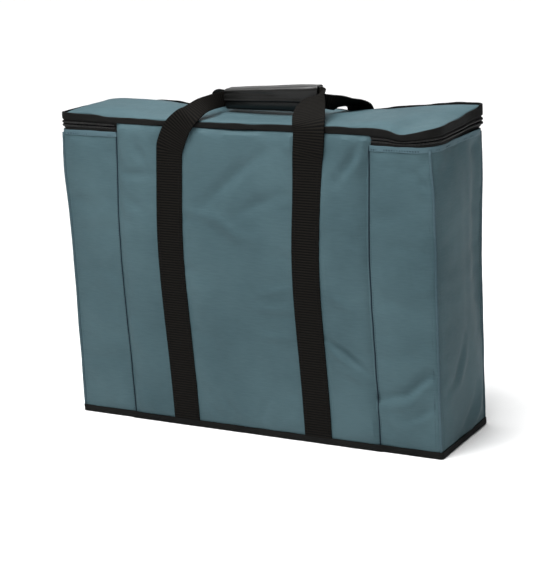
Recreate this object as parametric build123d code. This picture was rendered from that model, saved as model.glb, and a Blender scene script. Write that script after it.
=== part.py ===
"""Padded portfolio case: a tall, narrow fabric case with a zipped lid and two joined webbing handles.

The case stands on its base. +Z is up, +X runs along the width and the front faces -Y. The origin is
the centre of the base, on the surface that the case stands on. All lengths are millimetres.

The walls are sewn from a woven shell, a foam sheet and a lining. The lid is hinged along the raised
middle panel of the front, and a coil zip closes it round both ends and the back. A webbing strap runs
up each side of the front and of the back, and each pair of straps is one handle loop. The front loop
carries the padded grip, whose flap closes over the back loop.
"""

from build123d import *
import os

# ---------------------------------------------------------------- driving dimensions
case_width = 560.0
case_depth = 150.0
wall_height = 412.0
zip_reveal = 14.0
lid_corner_radius = 30.0

shell_thickness = 1.0
foam_thickness = 9.0
lining_thickness = 1.0
board_thickness = 3.0
base_foam_thickness = 8.0
running_gap = 0.3

center_panel_half = 191.0
center_panel_raise = 2.0

base_binding_height = 9.0
binding_thickness = 2.0
seam_strip_width = 7.0
seam_strip_thickness = 1.0
seam_strip_top_gap = 6.0

lid_thickness = 10.0
lid_edge_radius = 5.0
lid_binding_height = 9.0

tape_thickness = 1.0
tape_tuck = 5.0
coil_height = 2.0
coil_thickness = 2.2
coil_slot = 1.6

strap_width = 38.0
strap_thickness = 2.0
strap_spacing = 210.0
stitch_height = 385.0
riser_height = 54.0
front_left_lean = 20.0
front_right_lean = 3.0

grip_length = 146.0
grip_shift = 18.0
grip_width = 26.0
grip_height = 33.0
grip_radius = 9.0
grip_lid_gap = 1.5
grip_leather = 1.5
grip_cavity_height = 22.0
grip_split_share = 0.42
tongue_thickness = 1.0
tongue_height = 8.0
fastener_strip = 0.5
fastener_strip_lift = 1.0
fastener_strip_inset = 12.0
bar_height = 20.0
bar_thickness = 4.0
bar_gap = 0.4
loop_rise = 14.0
loop_reach_least = 2.0
loop_reach_share = 0.9
loop_stations = 9

slider_length = 18.0
slider_height = 11.0
slider_plate = 1.5
slider_gap = 0.4
slider_post_length = 3.0
slider_start = 11.0
bail_pin_radius = 0.8
bail_cheek = 1.2
bail_span = 4.0
bail_reach = 3.4
pin_clearance = 0.1
pull_width = 8.0
pull_thickness = 2.4
pull_length = 29.0
pull_knuckle_radius = 2.0

# ---------------------------------------------------------------- derived places
half_width = case_width / 2
half_depth = case_depth / 2
hinge_height = wall_height + zip_reveal
lid_top = hinge_height + lid_thickness
front_face = half_depth + center_panel_raise
lining_outer = shell_thickness + foam_thickness
wall_thickness = lining_outer + lining_thickness
board_bottom = shell_thickness
board_top = board_bottom + board_thickness
base_foam_top = board_top + base_foam_thickness
base_lining_top = base_foam_top + lining_thickness
facing_bottom = wall_height - shell_thickness
zip_line = wall_height + zip_reveal / 2 + coil_slot / 2
front_panel_top = hinge_height - running_gap
strap_x = strap_spacing / 2
riser_inner = half_depth + binding_thickness + 2 * running_gap
riser_middle = riser_inner + strap_thickness / 2
riser_bottom = stitch_height + running_gap
riser_top = stitch_height + riser_height
grip_bottom = lid_top + grip_lid_gap
grip_middle = grip_bottom + grip_height / 2
grip_end_left = grip_shift - grip_length / 2
grip_end_right = grip_shift + grip_length / 2
grip_cavity_width = 2 * (bar_thickness + bar_gap + fastener_strip) + tongue_thickness

nodes = {}


# ---------------------------------------------------------------- small builders
def block(x_low, x_high, y_low, y_high, z_low, z_high):
    """A plain box between two corners."""
    size = (x_high - x_low, y_high - y_low, z_high - z_low)
    middle = ((x_low + x_high) / 2, (y_low + y_high) / 2, (z_low + z_high) / 2)
    return Pos(*middle) * Box(*size)


def outline(inset):
    """The plan of the lid and the zip, moved inwards by inset, with its rounded corners."""
    return RectangleRounded(case_width - 2 * inset, case_depth - 2 * inset, lid_corner_radius - inset)


def band(outer_inset, inner_inset, z_low, z_high):
    """A ring that follows the plan of the lid."""
    flat = outline(outer_inset) - outline(inner_inset)
    return Pos(0, 0, z_low) * extrude(flat, amount=z_high - z_low)


def hinge_cutter(z_low, z_high):
    """The stretch of the front edge that has no zip, between the edges of the middle panel."""
    return block(
        -center_panel_half - running_gap,
        center_panel_half + running_gap,
        -case_depth,
        -half_depth + wall_thickness + 1,
        z_low,
        z_high,
    )


def station(middle, width_way, face_way, width, thickness):
    """One rectangular cross-section of a strap, as a closed wire."""
    across = width_way.normalized() * (width / 2)
    through = face_way.normalized() * (thickness / 2)
    corners = [
        middle - across - through,
        middle + across - through,
        middle + across + through,
        middle - across + through,
    ]
    return Wire.make_polygon(corners, close=True)


def bezier(points, share):
    """The point and the direction at a share of a cubic curve."""
    a, b, c, d = points
    rest = 1 - share
    place = a * rest**3 + b * (3 * rest**2 * share) + c * (3 * rest * share**2) + d * share**3
    way = (b - a) * rest**2 + (c - b) * (2 * rest * share) + (d - c) * share**2
    return place, way.normalized()


# ---------------------------------------------------------------- walls
def make_shell():
    """The outer fabric panels. The middle panel of the front stands proud and reaches up to the lid."""
    front_low, front_high = -half_depth, -half_depth + shell_thickness
    for name, x_low, x_high in (
        ("front_left_panel", -half_width, -center_panel_half),
        ("front_right_panel", center_panel_half, half_width),
    ):
        nodes[name] = block(x_low, x_high, front_low, front_high, shell_thickness, wall_height)
    flat = block(
        -center_panel_half, center_panel_half, front_low, front_high, shell_thickness, front_panel_top
    )
    raised = block(
        -center_panel_half, center_panel_half, -front_face, front_low, base_binding_height, front_panel_top
    )
    nodes["front_center_panel"] = flat + raised
    nodes["back_panel"] = block(
        -half_width, half_width, half_depth - shell_thickness, half_depth, shell_thickness, wall_height
    )
    for name, side in (("left_end_panel", -1), ("right_end_panel", 1)):
        outer, inner = side * half_width, side * (half_width - shell_thickness)
        nodes[name] = block(
            min(outer, inner),
            max(outer, inner),
            -half_depth + shell_thickness,
            half_depth - shell_thickness,
            shell_thickness,
            wall_height,
        )
    nodes["base_panel"] = block(-half_width, half_width, -half_depth, half_depth, 0, shell_thickness)


def make_padding():
    """The foam sheets of the walls and the base, and the stiff board under the base foam."""
    front_low = -half_depth + shell_thickness
    front_high = front_low + foam_thickness
    end_outer = half_width - shell_thickness
    end_inner = half_width - lining_outer
    nodes["front_center_foam"] = block(
        -center_panel_half,
        center_panel_half,
        front_low,
        front_high,
        board_top,
        front_panel_top - shell_thickness,
    )
    for name, side in (("front_left_foam", -1), ("front_right_foam", 1)):
        edges = sorted((side * center_panel_half, side * end_outer))
        nodes[name] = block(*edges, front_low, front_high, board_top, facing_bottom)
    nodes["back_foam"] = block(-end_outer, end_outer, -front_high, -front_low, board_top, facing_bottom)
    for name, side in (("left_end_foam", -1), ("right_end_foam", 1)):
        edges = sorted((side * end_inner, side * end_outer))
        nodes[name] = block(*edges, front_high, -front_high, board_top, facing_bottom)
    nodes["base_board"] = block(-end_outer, end_outer, front_low, -front_low, board_bottom, board_top)
    nodes["base_foam"] = block(-end_inner, end_inner, front_high, -front_high, board_top, base_foam_top)


def make_lining():
    """The inner fabric, and the facings that cover the top edges of the foam."""
    x_outer, x_inner = half_width - lining_outer, half_width - wall_thickness
    y_outer, y_inner = half_depth - lining_outer, half_depth - wall_thickness
    front = block(-x_outer, x_outer, -y_outer, -y_inner, base_lining_top, facing_bottom)
    hinge_flap = block(
        -center_panel_half,
        center_panel_half,
        -y_outer,
        -y_inner,
        facing_bottom,
        front_panel_top - shell_thickness,
    )
    nodes["front_lining"] = front + hinge_flap
    nodes["back_lining"] = block(-x_outer, x_outer, y_inner, y_outer, base_lining_top, facing_bottom)
    for name, side in (("left_end_lining", -1), ("right_end_lining", 1)):
        edges = sorted((side * x_inner, side * x_outer))
        nodes[name] = block(*edges, -y_inner, y_inner, base_lining_top, facing_bottom)
    nodes["base_lining"] = block(-x_outer, x_outer, -y_outer, y_outer, base_foam_top, base_lining_top)
    covers_foam = block(
        -half_width + shell_thickness,
        half_width - shell_thickness,
        -half_depth + shell_thickness,
        half_depth - shell_thickness,
        facing_bottom,
        wall_height,
    )
    mouth = block(-x_inner, x_inner, -y_inner, y_inner, facing_bottom - 1, wall_height + 1)
    middle = block(
        -center_panel_half, center_panel_half, -case_depth, -y_inner, facing_bottom - 1, wall_height + 1
    )
    nodes["rim_facing"] = covers_foam - mouth - middle
    nodes["hinge_facing"] = block(
        -center_panel_half,
        center_panel_half,
        -half_depth + shell_thickness,
        -y_inner,
        front_panel_top - shell_thickness,
        front_panel_top,
    )


def make_base_binding():
    """The bound edge round the foot of the case."""
    outer = RectangleRounded(
        case_width + 2 * binding_thickness, case_depth + 2 * binding_thickness, binding_thickness
    )
    flat = outer - Rectangle(case_width, case_depth)
    nodes["base_binding"] = extrude(flat, amount=base_binding_height)


def make_corner_seams():
    """The felled seam that folds round each upright corner."""
    low, high = base_binding_height, wall_height - seam_strip_top_gap
    reach = half_width + seam_strip_thickness, half_depth + seam_strip_thickness
    for name, x_side, y_side in (
        ("front_left_seam", -1, -1),
        ("front_right_seam", 1, -1),
        ("back_left_seam", -1, 1),
        ("back_right_seam", 1, 1),
    ):
        x_edges = sorted((x_side * (half_width - seam_strip_width), x_side * reach[0]))
        y_edges = sorted((y_side * (half_depth - seam_strip_width), y_side * reach[1]))
        corner = block(*x_edges, *y_edges, low, high)
        walls = block(-half_width, half_width, -half_depth, half_depth, 0, hinge_height)
        nodes[name] = corner - walls


# ---------------------------------------------------------------- lid and zip
def make_lid():
    """The lid: a shallow fabric tray, its foam and its lining, with a bound edge all the way round."""
    tray = Pos(0, 0, hinge_height) * extrude(outline(tape_thickness), amount=lid_thickness)
    top_edges = tray.faces().sort_by(Axis.Z)[-1].edges()
    tray = fillet(top_edges, lid_edge_radius)
    foam = Pos(0, 0, hinge_height + lining_thickness) * extrude(
        outline(tape_thickness + shell_thickness), amount=lid_thickness - shell_thickness - lining_thickness
    )
    foam_edges = foam.faces().sort_by(Axis.Z)[-1].edges()
    foam = fillet(foam_edges, lid_edge_radius - shell_thickness)
    lining = Pos(0, 0, hinge_height) * extrude(
        outline(tape_thickness + shell_thickness), amount=lining_thickness
    )
    nodes["lid_cover"] = tray - foam - lining
    nodes["lid_foam"] = foam
    nodes["lid_lining"] = lining
    nodes["lid_binding"] = band(
        -binding_thickness, 0, hinge_height, hinge_height + lid_binding_height
    )


def make_zip():
    """Both halves of the zip: a woven tape and a coil each, ending at the middle panel of the front."""
    cutter = hinge_cutter(wall_height - 1, lid_top + 1)
    lower_edge = zip_line - coil_slot / 2
    upper_edge = zip_line + coil_slot / 2
    lower_tape = band(0, tape_thickness, wall_height, lower_edge)
    upper_tape = band(0, tape_thickness, upper_edge, hinge_height + tape_tuck)
    lower_coil = band(-coil_thickness, 0, lower_edge - coil_height, lower_edge)
    upper_coil = band(-coil_thickness, 0, upper_edge, upper_edge + coil_height)
    for name, piece in (
        ("zip_lower_tape", lower_tape),
        ("zip_upper_tape", upper_tape),
        ("zip_lower_coil", lower_coil),
        ("zip_upper_coil", upper_coil),
    ):
        nodes[name] = piece - cutter


def make_slider(side):
    """A zip slider on the back of the case: two plates, the post between them and the bail."""
    middle = side * slider_start
    x_edges = (middle - slider_length / 2, middle + slider_length / 2)
    z_edges = (zip_line - slider_height / 2, zip_line + slider_height / 2)
    outer_face = half_depth + coil_thickness + slider_gap
    inner_face = half_depth - tape_thickness - slider_gap
    outer_plate = block(*x_edges, outer_face, outer_face + slider_plate, *z_edges)
    inner_plate = block(*x_edges, inner_face - slider_plate, inner_face, *z_edges)
    post_half = coil_slot / 2 - slider_gap / 2
    post = block(
        middle - slider_post_length / 2,
        middle + slider_post_length / 2,
        inner_face,
        outer_face,
        zip_line - post_half,
        zip_line + post_half,
    )
    pin_y = outer_face + slider_plate + bail_reach
    body = outer_plate + inner_plate + post
    for cheek_side in (-1, 1):
        edges = sorted(
            (middle + cheek_side * bail_span / 2, middle + cheek_side * (bail_span / 2 + bail_cheek))
        )
        cheek = block(
            *edges,
            outer_face + slider_plate,
            pin_y + pull_knuckle_radius,
            zip_line - pull_knuckle_radius,
            zip_line + pull_knuckle_radius,
        )
        body += cheek
    pin = Pos(middle, pin_y, zip_line) * Rot(0, 90, 0) * Cylinder(bail_pin_radius, bail_span)
    return body + pin, middle, pin_y


def make_pull(middle, pin_y):
    """The pull that swings on the bail's pin, hanging straight down at rest."""
    knuckle_length = bail_span - 2 * pin_clearance
    knuckle = Pos(middle, pin_y, zip_line) * Rot(0, 90, 0) * Cylinder(pull_knuckle_radius, knuckle_length)
    neck_end = zip_line - pull_knuckle_radius - bail_cheek
    neck = block(
        middle - knuckle_length / 2,
        middle + knuckle_length / 2,
        pin_y - pull_thickness / 2,
        pin_y + pull_thickness / 2,
        neck_end,
        zip_line,
    )
    tab = block(
        middle - pull_width / 2,
        middle + pull_width / 2,
        pin_y - pull_thickness / 2,
        pin_y + pull_thickness / 2,
        zip_line - pull_length,
        neck_end,
    )
    corners = tab.edges().filter_by(Axis.Y)
    tab = fillet(corners, pull_thickness / 2)
    eye = Pos(middle, pin_y, zip_line) * Rot(0, 90, 0) * Cylinder(
        bail_pin_radius + pin_clearance, case_depth
    )
    return knuckle + neck + tab - eye


def make_sliders():
    for name, side in (("left", -1), ("right", 1)):
        body, middle, pin_y = make_slider(side)
        nodes[f"zip_slider_{name}"] = body
        nodes[f"zip_pull_{name}"] = make_pull(middle, pin_y)


# ---------------------------------------------------------------- straps and handles
def make_sewn_straps():
    """The lengths of webbing that are stitched to the front and the back, up to the stitch line."""
    for face, y_low, y_high in (
        ("front", -front_face - strap_thickness, -front_face),
        ("back", half_depth, half_depth + strap_thickness),
    ):
        for name, side in (("left", -1), ("right", 1)):
            nodes[f"{face}_strap_{name}"] = block(
                side * strap_x - strap_width / 2,
                side * strap_x + strap_width / 2,
                y_low,
                y_high,
                base_binding_height,
                stitch_height,
            )


def riser_ends(x_side, y_side, lean):
    """The middle of a riser's foot and of its top, and the way that it points."""
    foot = Vector(x_side * strap_x, y_side * riser_middle, riser_bottom)
    head = Vector(x_side * strap_x + lean, y_side * riser_middle, riser_top)
    return foot, head, (head - foot).normalized()


def make_risers(face, y_side, leans):
    """The free lengths of webbing between the stitch line and the bend over the lid."""
    for name, x_side, lean in zip(("left", "right"), (-1, 1), leans):
        foot, head, way = riser_ends(x_side, y_side, lean)
        through = Vector(0, 1, 0)
        low = station(foot, Vector(1, 0, 0), through, strap_width, strap_thickness)
        high = station(head, through.cross(way), through, strap_width, strap_thickness)
        nodes[f"{face}_riser_{name}"] = Solid.make_loft([low, high], ruled=True)


def loop_half(x_side, y_side, bar_middle, lean):
    """Stations from the top of one riser to the mouth of the grip. The webbing folds to half its width."""
    mouth_x = grip_end_right if x_side > 0 else grip_end_left
    foot, start, way_up = riser_ends(x_side, y_side, lean)
    finish = Vector(mouth_x, bar_middle, grip_middle)
    reach = loop_reach_least + loop_reach_share * abs(start.X - mouth_x)
    path = (start, start + way_up * loop_rise, finish + Vector(x_side * reach, 0, 0), finish)
    wires = []
    for step in range(loop_stations):
        share = step / (loop_stations - 1)
        place, way = bezier(path, share)
        turn = Vector(x_side, 0, 0) * (1 - share) + Vector(0, 0, 1) * share
        width_way = turn - way * turn.dot(way)
        face_way = way.cross(width_way)
        width = strap_width + (bar_height - strap_width) * share
        thickness = strap_thickness + (bar_thickness - strap_thickness) * share
        wires.append(station(place, width_way, face_way * -x_side, width, thickness))
    return wires


def make_loop(face, y_side, bar_middle, leans):
    """One handle loop: over the lid from one riser, along inside the grip and down to the other riser."""
    left = loop_half(-1, y_side, bar_middle, leans[0])
    right = loop_half(1, y_side, bar_middle, leans[1])
    legs = [Solid.make_loft(left, ruled=True), Solid.make_loft(right, ruled=True)]
    bar = block(
        grip_end_left,
        grip_end_right,
        bar_middle - bar_thickness / 2,
        bar_middle + bar_thickness / 2,
        grip_middle - bar_height / 2,
        grip_middle + bar_height / 2,
    )
    nodes[f"{face}_handle_loop"] = bar + legs[0] + legs[1]


def grip_ring(outer, inner):
    """A tube along X, as long as the grip, between two flat outlines."""
    tube = extrude(outer - inner, amount=grip_length)
    return Pos(grip_end_left, 0, grip_middle) * (Rot(0, 90, 0) * (Rot(0, 0, 90) * tube))


def make_grip():
    """The grip: a leather wrap over foam. The lower front half is sewn to the front loop and the rest is
    a flap, hinged along the front, that closes on a tongue with hook-and-loop tape."""
    outer = RectangleRounded(grip_width, grip_height, grip_radius)
    under_leather = RectangleRounded(
        grip_width - 2 * grip_leather, grip_height - 2 * grip_leather, grip_radius - grip_leather
    )
    cavity = Rectangle(grip_cavity_width, grip_cavity_height)
    leather = grip_ring(outer, under_leather)
    pad = grip_ring(under_leather, cavity)
    split = grip_bottom + grip_split_share * grip_height
    x_edges = (grip_end_left - 1, grip_end_right + 1)
    cavity_side = grip_cavity_width / 2
    cavity_floor = grip_middle - grip_cavity_height / 2
    front_part = block(*x_edges, -grip_width, -cavity_side + 1, grip_bottom - 1, split)
    floor_part = block(*x_edges, -grip_width, cavity_side, grip_bottom - 1, cavity_floor + 1)
    base_zone = front_part + floor_part
    nodes["grip_base"] = leather & base_zone
    nodes["grip_base_foam"] = pad & base_zone
    nodes["grip_flap"] = leather - base_zone
    nodes["grip_flap_foam"] = pad - base_zone
    loop_strip_inner = cavity_side - fastener_strip
    hook_strip_inner = loop_strip_inner - fastener_strip
    tongue_inner = hook_strip_inner - tongue_thickness
    strip_x = (grip_end_left + fastener_strip_inset, grip_end_right - fastener_strip_inset)
    strip_z = (cavity_floor + fastener_strip_lift, cavity_floor + tongue_height)
    nodes["grip_tongue"] = block(
        *strip_x, tongue_inner, hook_strip_inner, cavity_floor, cavity_floor + tongue_height
    )
    nodes["grip_hook_strip"] = block(*strip_x, hook_strip_inner, loop_strip_inner, *strip_z)
    nodes["grip_loop_strip"] = block(*strip_x, loop_strip_inner, cavity_side, *strip_z)


def make_handles():
    """Straps, risers, grip and loops. The front loop lies against the front wall of the grip's cavity."""
    make_sewn_straps()
    front_leans = (front_left_lean, front_right_lean)
    back_leans = (0, 0)
    make_risers("front", -1, front_leans)
    make_risers("back", 1, back_leans)
    make_grip()
    front_bar = (bar_thickness - grip_cavity_width) / 2
    make_loop("front", -1, front_bar, front_leans)
    make_loop("back", 1, front_bar + bar_thickness + bar_gap, back_leans)


# ---------------------------------------------------------------- write the parts
def main():
    make_shell()
    make_padding()
    make_lining()
    make_base_binding()
    make_corner_seams()
    make_lid()
    make_zip()
    make_sliders()
    make_handles()
    os.makedirs("parts", exist_ok=True)
    for name, shape in nodes.items():
        export_step(shape, f"parts/{name}.step")
    print(len(nodes), "nodes")


main()
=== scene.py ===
# %% [markdown]
# # A padded portfolio case
# The case is sewn from padded nylon: walls, a proud middle panel, a zipped lid and two webbing handles.
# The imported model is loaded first, because every piece below takes its place from it and rides on its
# bodies. All lengths here are metres.

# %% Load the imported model
import math

import bpy
import numpy as np
from mathutils import Matrix, Vector, noise


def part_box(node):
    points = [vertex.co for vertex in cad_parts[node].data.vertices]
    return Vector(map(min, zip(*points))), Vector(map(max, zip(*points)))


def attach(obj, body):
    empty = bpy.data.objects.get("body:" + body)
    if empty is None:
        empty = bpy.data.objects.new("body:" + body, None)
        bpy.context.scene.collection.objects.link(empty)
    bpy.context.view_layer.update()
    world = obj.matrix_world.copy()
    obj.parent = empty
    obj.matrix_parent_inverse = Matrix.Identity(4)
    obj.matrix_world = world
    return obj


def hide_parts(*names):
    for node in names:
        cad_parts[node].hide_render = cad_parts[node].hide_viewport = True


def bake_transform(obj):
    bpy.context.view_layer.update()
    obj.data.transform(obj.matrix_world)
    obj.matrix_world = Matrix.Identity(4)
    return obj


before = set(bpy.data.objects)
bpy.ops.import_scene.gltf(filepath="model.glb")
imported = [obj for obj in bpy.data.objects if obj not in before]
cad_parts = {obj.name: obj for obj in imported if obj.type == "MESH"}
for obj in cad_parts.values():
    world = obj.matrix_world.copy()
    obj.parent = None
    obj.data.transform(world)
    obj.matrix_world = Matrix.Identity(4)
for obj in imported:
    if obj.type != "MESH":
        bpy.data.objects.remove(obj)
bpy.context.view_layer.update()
MM = 0.001

# %% [markdown]
# ## The camera
# The camera is set before any modelling, so every piece can be judged from the same place. It stands to
# the right of the front, a little above the lid, far enough back for gentle perspective. A roll of a few
# degrees and a small shift complete the framing.

# %% Set up the camera
azimuth, elevation, roll = math.radians(29.176), math.radians(14.021), math.radians(-2.9116)
back = Vector(
    (
        math.sin(azimuth) * math.cos(elevation),
        -math.cos(azimuth) * math.cos(elevation),
        math.sin(elevation),
    )
)
level = Vector((math.cos(azimuth), math.sin(azimuth), 0.0))
upright = back.cross(level)
right_way = level * math.cos(roll) + upright * math.sin(roll)
up_way = upright * math.cos(roll) - level * math.sin(roll)
aim, distance = Vector((0, 0, 0.25)), 2.5463
bpy.ops.object.camera_add(location=aim + back * distance)
camera = bpy.context.object
camera.rotation_euler = Matrix((right_way, up_way, back)).transposed().to_euler()
camera.data.lens = 115.82
camera.data.sensor_width = 36.0
camera.data.shift_x = 0.0149
camera.data.shift_y = -0.0753
bpy.context.scene.camera = camera
print("camera stands at", [round(c, 2) for c in camera.location])

# %% [markdown]
# ## Floor and light
# A plain white floor and soft light keep the attention on the cloth. The key is a broad sun, nearly
# overhead and to the left: it lights the lid most, grazes the front so that every fold shows, and leaves
# the right end in shade. A soft box above the front helps it, a weak sun behind fills the back, and the
# white floor and the pale air give back the rest. The standard view keeps white paper white.

# %% Build the floor and the lights
bpy.ops.object.select_all(action="DESELECT")
bpy.ops.mesh.primitive_plane_add(size=80, location=(0, 0, -0.0005))
floor = bpy.context.object
floor.name = "studio_floor"


def soft_sun(name, azimuth, elevation, strength, spread):
    """A sun with a wide disc. Azimuth 0 shines from the front, and more turns it to the right."""
    bpy.ops.object.light_add(type="SUN", location=(0, 0, 3))
    lamp = bpy.context.object
    lamp.name = name
    lamp.data.energy = strength
    lamp.data.angle = math.radians(spread)
    a, e = math.radians(azimuth), math.radians(elevation)
    way = Vector((math.sin(a) * math.cos(e), -math.cos(a) * math.cos(e), math.sin(e)))
    lamp.rotation_euler = way.to_track_quat("Z", "Y").to_euler()
    return lamp


soft_sun("key_light", -58, 75, 3.05, 46)
soft_sun("rear_fill", 196, 32, 0.65, 60)
bpy.ops.object.light_add(type="AREA", location=(0.05, -0.6, 1.5))
top_box = bpy.context.object
top_box.name = "top_softbox"
top_box.data.size = 0.9
top_box.data.energy = 22
towards_case = Vector((0, 0, 0.35)) - top_box.location
top_box.rotation_euler = towards_case.to_track_quat("-Z", "Y").to_euler()
world = bpy.data.worlds.new("studio_air")
bpy.context.scene.world = world
world.use_nodes = True
world.node_tree.nodes["Background"].inputs["Color"].default_value = (1, 1, 1, 1)
world.node_tree.nodes["Background"].inputs["Strength"].default_value = 0.08
bpy.context.scene.view_settings.view_transform = "Standard"

# %% [markdown]
# ## Finishes
# Every finish is made from nodes, with its pattern set out in millimetres on object coordinates or on the
# piece's own unwrapped length. One helper adds a node with its settings and links, one turns a written
# colour into linear light, and one turns a pitch into a wave texture's scale.


# %% Helpers for materials
def linear(code):
    """An sRGB colour written as hex, as linear RGBA."""
    parts = [int(code[i : i + 2], 16) / 255 for i in (0, 2, 4)]
    return tuple(c / 12.92 if c <= 0.04045 else ((c + 0.055) / 1.055) ** 2.4 for c in parts) + (1.0,)


def add_node(tree, kind, settings=None, links=None):
    """Adds one node. Settings name an input or a property; links join an input to an output."""
    node = tree.nodes.new(kind)
    for key, value in (settings or {}).items():
        if isinstance(key, int) or key in node.inputs:
            node.inputs[key].default_value = value
        else:
            setattr(node, key, value)
    for key, source in (links or {}).items():
        tree.links.new(source, node.inputs[key])
    return node


def wave_scale(pitch):
    """A wave texture repeats every pi/10 units at scale 1."""
    return math.pi / 10 / pitch


def start_finish(name):
    """A new material, its node tree and its shader."""
    finish = bpy.data.materials.new(name)
    finish.use_nodes = True
    tree = finish.node_tree
    return finish, tree, tree.nodes["Principled BSDF"]


def two_tones(tree, factor, dark, light):
    """A colour between two tones, by a factor."""
    ramp = add_node(tree, "ShaderNodeValToRGB", links={"Fac": factor})
    ramp.color_ramp.elements[0].color = linear(dark)
    ramp.color_ramp.elements[1].color = linear(light)
    ramp.color_ramp.elements[0].position = 0.3
    ramp.color_ramp.elements[1].position = 0.7
    return ramp.outputs["Color"]


def woven(name, dark, light, pitch, relief, roughness, sheen, gloss=0.1):
    """Plain-woven cloth: threads cross at the pitch in whichever two directions the surface runs, and a
    slow drift of tone with thin slubs along X breaks up the colour."""
    finish, tree, shader = start_finish(name)
    place = add_node(tree, "ShaderNodeTexCoord").outputs["Object"]
    drift = add_node(tree, "ShaderNodeTexNoise", {"Scale": 9.0, "Detail": 3.0}, {"Vector": place})
    stretched = add_node(
        tree, "ShaderNodeMapping", {"Scale": (0.12, 0.12, 1.0)}, {"Vector": place}
    ).outputs["Vector"]
    slub = add_node(
        tree, "ShaderNodeTexNoise", {"Scale": 620.0, "Detail": 2.0}, {"Vector": stretched}
    )
    tone = add_node(
        tree,
        "ShaderNodeMath",
        {"operation": "MULTIPLY_ADD", 1: 0.32},
        {0: slub.outputs["Fac"], 2: drift.outputs["Fac"]},
    )
    tone = add_node(
        tree, "ShaderNodeMath", {"operation": "SUBTRACT", 1: 0.16}, {0: tone.outputs["Value"]}
    )
    tree.links.new(two_tones(tree, tone.outputs["Value"], dark, light), shader.inputs["Base Color"])
    total = None
    for way in "XYZ":
        wave = add_node(
            tree,
            "ShaderNodeTexWave",
            {"bands_direction": way, "Scale": wave_scale(pitch), "Distortion": 0.6, "Detail": 1.0},
            {"Vector": place},
        ).outputs["Fac"]
        if total is None:
            total = wave
        else:
            total = add_node(
                tree, "ShaderNodeMath", {"operation": "ADD"}, {0: total, 1: wave}
            ).outputs["Value"]
    bump = add_node(
        tree, "ShaderNodeBump", {"Strength": 0.5, "Distance": relief}, {"Height": total}
    )
    tree.links.new(bump.outputs["Normal"], shader.inputs["Normal"])
    shader.inputs["Roughness"].default_value = roughness
    shader.inputs["Sheen Weight"].default_value = sheen
    shader.inputs["Sheen Roughness"].default_value = 0.3
    shader.inputs["Sheen Tint"].default_value = linear("b4c6cc")
    shader.inputs["Specular IOR Level"].default_value = gloss
    print(name, "has", len(tree.nodes), "nodes")
    return finish


def ribbed(name, dark, light, pitch, relief, roughness):
    """Webbing or grosgrain: ribs lie across the tape. They follow the V direction of its own unwrap,
    which is laid out in metres."""
    finish, tree, shader = start_finish(name)
    flat = add_node(tree, "ShaderNodeUVMap").outputs["UV"]
    rib = add_node(
        tree,
        "ShaderNodeTexWave",
        {"bands_direction": "Y", "Scale": wave_scale(pitch), "Distortion": 0.25, "Detail": 1.0},
        {"Vector": flat},
    )
    fine = add_node(tree, "ShaderNodeTexNoise", {"Scale": 1500.0, "Detail": 2.0}, {"Vector": flat})
    mixed = add_node(
        tree,
        "ShaderNodeMath",
        {"operation": "MULTIPLY_ADD", 1: 0.5},
        {0: fine.outputs["Fac"], 2: rib.outputs["Fac"]},
    )
    scaled = add_node(
        tree, "ShaderNodeMath", {"operation": "MULTIPLY", 1: 0.66}, {0: mixed.outputs["Value"]}
    )
    tree.links.new(two_tones(tree, scaled.outputs["Value"], dark, light), shader.inputs["Base Color"])
    height = mixed.outputs["Value"]
    bump = add_node(
        tree, "ShaderNodeBump", {"Strength": 0.9, "Distance": relief}, {"Height": height}
    )
    tree.links.new(bump.outputs["Normal"], shader.inputs["Normal"])
    shader.inputs["Roughness"].default_value = roughness
    shader.inputs["Specular IOR Level"].default_value = 0.06
    print(name, "has", len(tree.nodes), "nodes")
    return finish


# %% [markdown]
# The shell is pack cloth: a coated plain weave of slate-blue nylon. The real weave is finer than half a
# millimetre, so it is drawn at 1.1 mm to show at all. The lining is the same weave in black. Each line
# gives the two tones, the pitch of the threads, the depth of the relief, the roughness and the sheen.

# %% Cloth finishes
# Pack cloth, the coated nylon of the shell: matt slate blue, with threads and slubs that show close by.
shell_cloth = woven("slate_pack_cloth", "3b5056", "475d63", 1.1 * MM, 0.10 * MM, 0.62, 0.06)
# The same cloth turned over at the hem, painted paler than the shell: a painted highlight for the light
# that the turned edge catches.
hem_highlight_cloth = woven("slate_hem_painted_highlight", "435a61", "51676f", 1.1 * MM, 0.10 * MM, 0.62, 0.06)
# Lining edges turned out beside the middle panel: they read as a dark blue-black line.
# Painted shade: a dark blue-black strip that stands in for the shade in the seams beside the middle panel.
seam_shade_strip_cloth = woven("dark_painted_seam_shade", "141d24", "1d2932", 1.1 * MM, 0.08 * MM, 0.8, 0.05)
# Lining taffeta, a thin plain weave: a smoother black with a faint sheen.
lining_cloth = woven("black_lining_cloth", "15161a", "1e2024", 0.9 * MM, 0.06 * MM, 0.6, 0.1)
# Ballistic nylon under the base: a coarser and duller black.
base_cloth = woven("black_base_cloth", "121314", "1c1d1f", 1.4 * MM, 0.12 * MM, 0.75, 0.05)
# Folded grosgrain on the foot and the lid's edge: a dull black with a visible thread.
binding_cloth = woven("black_binding_tape", "0a0a0a", "161615", 1.6 * MM, 0.18 * MM, 0.8, 0.05)
# Zip tape, a close twill of polyester: a touch lighter than the binding beside it.
zip_cloth = woven("black_zip_tape", "0e0e0e", "1b1b1a", 1.2 * MM, 0.12 * MM, 0.75, 0.05)
# Pack cloth in the corner seams, painted darker than the shell as painted shade so the welts don't read as
# a light line, and without sheen.
welt_painted_shade_cloth = woven("slate_corner_welt_shade", "384b52", "45585f", 1.1 * MM, 0.10 * MM, 0.7, 0.0)
# Nylon webbing: a deep black with ribs across it, drawn at 3.6 mm so that they show.
webbing = ribbed("black_ribbed_webbing", "040404", "161411", 3.6 * MM, 0.35 * MM, 0.75)

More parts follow.
